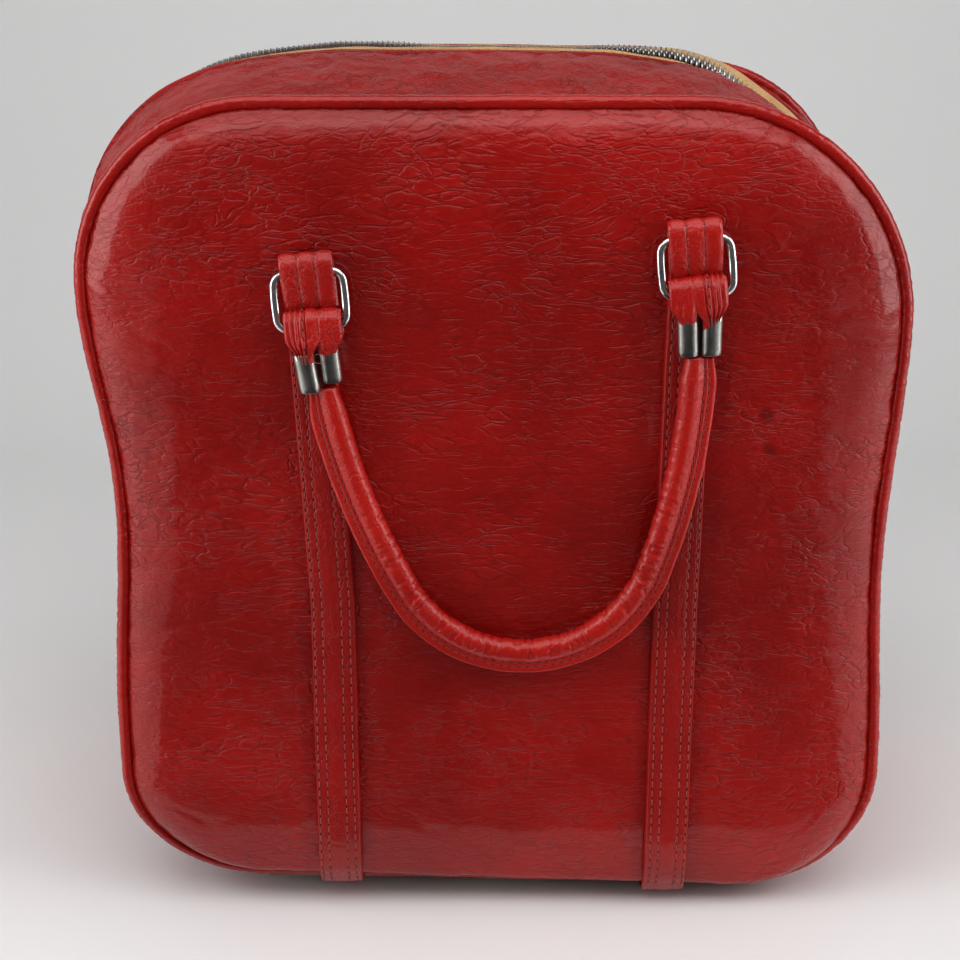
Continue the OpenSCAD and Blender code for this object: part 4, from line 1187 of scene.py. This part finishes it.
def floor_lining(name, materials, seed):
    """The cloth over the base board, a little loose, with its edges turned down."""
    low, high = box_mm("base_lining")
    x = np.linspace(low[0], high[0], 70)
    y = np.linspace(low[1], high[1], 60)
    gx, gy = np.meshgrid(x, y, indexing="ij")
    where = np.stack([gx, gy, 0 * gx], -1)
    u = (gx - low[0]) / (high[0] - low[0]) * 2 - 1
    v = (gy - low[1]) / (high[1] - low[1]) * 2 - 1
    free = 1 - np.maximum(np.abs(u), np.abs(v)) ** 8
    z = high[2] + free * np.maximum(0, 0.5 + 0.5 * rough(where, 30, seed, 3)) * 0.8
    layers = [np.stack([gx, gy, z], -1), np.stack([gx, gy, z - 0.7], -1)]
    shell = Shell()
    n, m = gx.shape
    border = ([i * m for i in range(n)] + [(n - 1) * m + j for j in range(1, m)]
              + [i * m + m - 1 for i in range(n - 2, -1, -1)] + [j for j in range(m - 2, 0, -1)])
    for layer in layers:
        shell.grid(layer)
    count = n * m
    k = len(border)
    rim_faces = [[border[i], border[(i + 1) % k], border[(i + 1) % k] + count, border[i] + count]
                 for i in range(k)]
    shell.faces += rim_faces
    shell.slots += [0] * len(rim_faces)
    return shell.piece(name, materials)


def with_flap(thing):
    """Bakes the piece's placement into its mesh."""
    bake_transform(thing)


def build_side(side):
    sign = 1 if side == "front" else -1
    seed = 1 if side == "front" else 40
    flap = side + "_flap"

    skin = panel(side + "_panel_skin", sign, [LOOK["panel"]], seed)
    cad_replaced(skin, side + "_panel", side + "_panel_base")
    with_flap(skin)

    cord = welt(side + "_welt", sign, [LOOK["welt"]], seed + 3)
    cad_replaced(cord, side + "_piping", side + "_piping_base")
    with_flap(cord)

    half = gusset_half(side + "_gusset_skin", sign, [LOOK["gusset"], LOOK["hem_thread_painted_shade"], LOOK["hole_shade"]], seed + 6)
    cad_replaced(half, side + "_gusset")
    with_flap(half)

    tape = zip_tape("zip_tape_" + side + "_woven", sign, [LOOK["tape"]])
    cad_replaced(tape, "zip_tape_" + side, "zip_tape_base")
    with_flap(tape)

    row = zip_teeth("zip_teeth_" + side + "_row", sign, [LOOK["teeth"]])
    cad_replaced(row, "zip_teeth_" + side, "zip_teeth_base")
    with_flap(row)

    for word, k in (("left", -1), ("right", 1)):
        sewn = strap(side + "_strap_" + word + "_sewn", k, sign,
                     [LOOK["strap"], LOOK["thread"], LOOK["hole_shade"]], seed + 9 + k)
        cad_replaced(sewn, side + "_strap_" + word, "base_strap_" + word)
        with_flap(sewn)

        tab = loop_tab(side + "_loop_" + word, k, sign,
                       [LOOK["handle"], LOOK["dark_thread"], LOOK["hole_shade"]], seed + 13 + k)
        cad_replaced(tab, side + "_strap_loops")
        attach(tab, flap)

        wire = ring(side + "_ring_" + word + "_wire", k, sign, [LOOK["ring"]])
        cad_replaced(wire, side + "_ring_" + word)
        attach(wire, side + "_" + word + "_ring")

        end = handle_end(side + "_handle_end_" + word, k, sign,
                         [LOOK["handle"], LOOK["dark_thread"], LOOK["hole_shade"]], seed + 17 + k)
        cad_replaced(end, side + "_handle_ends")
        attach(end, side + "_handle")

        tubes = ferrules(side + "_ferrules_" + word, k, sign, [LOOK["ferrule"]], seed + 21 + k)
        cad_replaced(tubes, side + "_ferrules")
        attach(tubes, side + "_handle")

    roll = grip(side + "_grip", sign, [LOOK["handle"], LOOK["edge"], LOOK["dark_thread"], LOOK["hole_shade"]], seed + 25)
    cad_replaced(roll, side + "_handle_grip")
    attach(roll, side + "_handle")

    board = inner_sheet(side + "_board", side + "_stiffener", sign, 1.6, 44, FOLD_Z + 10, [LOOK["board"]], seed + 28, 0.0)
    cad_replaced(board, side + "_stiffener")
    with_flap(board)

    cloth = inner_sheet(side + "_lining_cloth", side + "_lining", sign, 0.7, 32, FOLD_Z + 4, [LOOK["lining"]], seed + 30)
    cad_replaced(cloth, side + "_lining")
    with_flap(cloth)


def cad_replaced(thing, *nodes):
    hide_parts(*nodes)
    return thing


def build_base():
    skin = base_skin("base_gusset_skin", [LOOK["gusset"], LOOK["thread"], LOOK["hole_shade"]], 70)
    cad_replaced(skin, "base_gusset")
    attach(skin, "root")
    for word, side in (("left", -1), ("right", 1)):
        tab = zip_tab("zip_tab_" + word, side, [LOOK["strap"], LOOK["thread"], LOOK["hole_shade"]])
        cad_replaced(tab, "zip_end_tabs")
        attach(tab, "root")
    cloth = floor_lining("base_lining_cloth", [LOOK["lining"]], 80)
    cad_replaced(cloth, "base_lining")
    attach(cloth, "root")


def finish_cad_nodes():
    """New materials for the rigid CAD nodes that stay as they are."""
    looks = {"base_board": "board", "ball_cradle": "plastic", "base_feet": "feet",
             "zip_stops": "teeth", "zip_slider": "slider", "zip_pull": "slider",
             "front_handle_core": "rope", "back_handle_core": "rope"}
    for node, look in looks.items():
        thing = frame["nodes"][node]
        thing.data.materials.clear()
        thing.data.materials.append(LOOK[look])


# ---------------------------------------------------------------- studio
def stage_material(name, value, gloss):
    m = Nodes(name)
    color = m.mixed(m.noise(3, 2), (value * 0.985,) * 3, (value,) * 3)
    return m.finish(color, m.spread(m.noise(5), 0.3, 0.7, gloss, gloss + 0.06))


def flat_mesh(name, points, faces, material):
    mesh = bpy.data.meshes.new(name)
    mesh.from_pydata(points, [], faces)
    mesh.materials.append(material)
    mesh.polygons.foreach_set("use_smooth", np.ones(len(mesh.polygons), bool))
    thing = bpy.data.objects.new(name, mesh)
    bpy.context.scene.collection.objects.link(thing)
    return thing


def build_stage():
    """A pale floor that curves up into a pale backdrop."""
    profile = [(-6.0, 0.0), (0.55, 0.0)]
    profile += [(0.55 + 0.5 * math.sin(a), 0.5 - 0.5 * math.cos(a)) for a in np.linspace(0.08, math.pi / 2, 16)]
    profile += [(1.05, 3.2)]
    points = [(x, y, z) for y, z in profile for x in (-4.5, 4.5)]
    faces = [(2 * i, 2 * i + 1, 2 * i + 3, 2 * i + 2) for i in range(len(profile) - 1)]
    flat_mesh("studio_floor", points, faces, stage_material("pale_paper", 0.80, 0.6))
    card = flat_mesh("dark_card", [(-1.6, -5.9, 0.003), (1.6, -5.9, 0.003), (0.24, -0.17, 0.003), (-0.24, -0.17, 0.003)],
                     [(0, 1, 2, 3)], stage_material("black_card", 0.01, 0.9))
    for way in ("camera", "diffuse", "shadow", "transmission", "volume_scatter"):
        setattr(card, "visible_" + way, False)


def area_light(name, place, aim, size, power, color=(1, 1, 1)):
    data = bpy.data.lights.new(name, "AREA")
    data.shape = "RECTANGLE"
    data.size, data.size_y = size
    data.energy = power
    data.color = color
    light = bpy.data.objects.new(name, data)
    light.location = place
    light.rotation_mode = "QUATERNION"
    light.rotation_quaternion = (Vector(aim) - Vector(place)).to_track_quat("-Z", "Y")
    bpy.context.scene.collection.objects.link(light)
    light.visible_camera = False
    return light


def build_lights():
    area_light("tent_top", (0.0, -0.50, 1.45), (0, -0.15, 0.1), (1.7, 1.3), 11)
    area_light("tent_left", (-0.95, -0.42, 0.55), (-0.05, -0.10, 0.16), (0.7, 1.0), 6.0)
    area_light("tent_right", (0.95, -0.38, 0.55), (0.05, -0.10, 0.16), (0.7, 1.0), 6.0)
    area_light("front_floor", (0.0, -2.7, 2.5), (0, -2.3, 0), (3.4, 2.0), 16)
    world = bpy.data.worlds.new("studio")
    world.use_nodes = True
    world.node_tree.nodes["Background"].inputs["Color"].default_value = (1.0, 0.985, 0.96, 1)
    world.node_tree.nodes["Background"].inputs["Strength"].default_value = 0.09
    bpy.context.scene.world = world
    view = bpy.context.scene.view_settings
    view.view_transform = "Standard"
    view.gamma = 0.84
    view.exposure = 0.19


def build_camera():
    """The photograph's angle: straight on, 19 degrees down, from about 0.86 m."""
    data = bpy.data.cameras.new("camera")
    data.lens = 67.5
    data.sensor_width = 36
    data.clip_start = 0.02
    camera = bpy.data.objects.new("camera", data)
    camera.location = ((MID_X - 6.4) * MM, FRONT_Y * MM - 0.7564, BOTTOM_Z * MM + 0.4668)
    camera.rotation_euler = (math.radians(90 - 19), 0, 0)
    bpy.context.scene.collection.objects.link(camera)
    bpy.context.scene.camera = camera


build_camera()
build_lights()
build_stage()
build_base()
build_side("front")
build_side("back")
thread = loose_thread("loose_thread", [LOOK["thread"]])
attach(thread, "front_handle")
finish_cad_nodes()
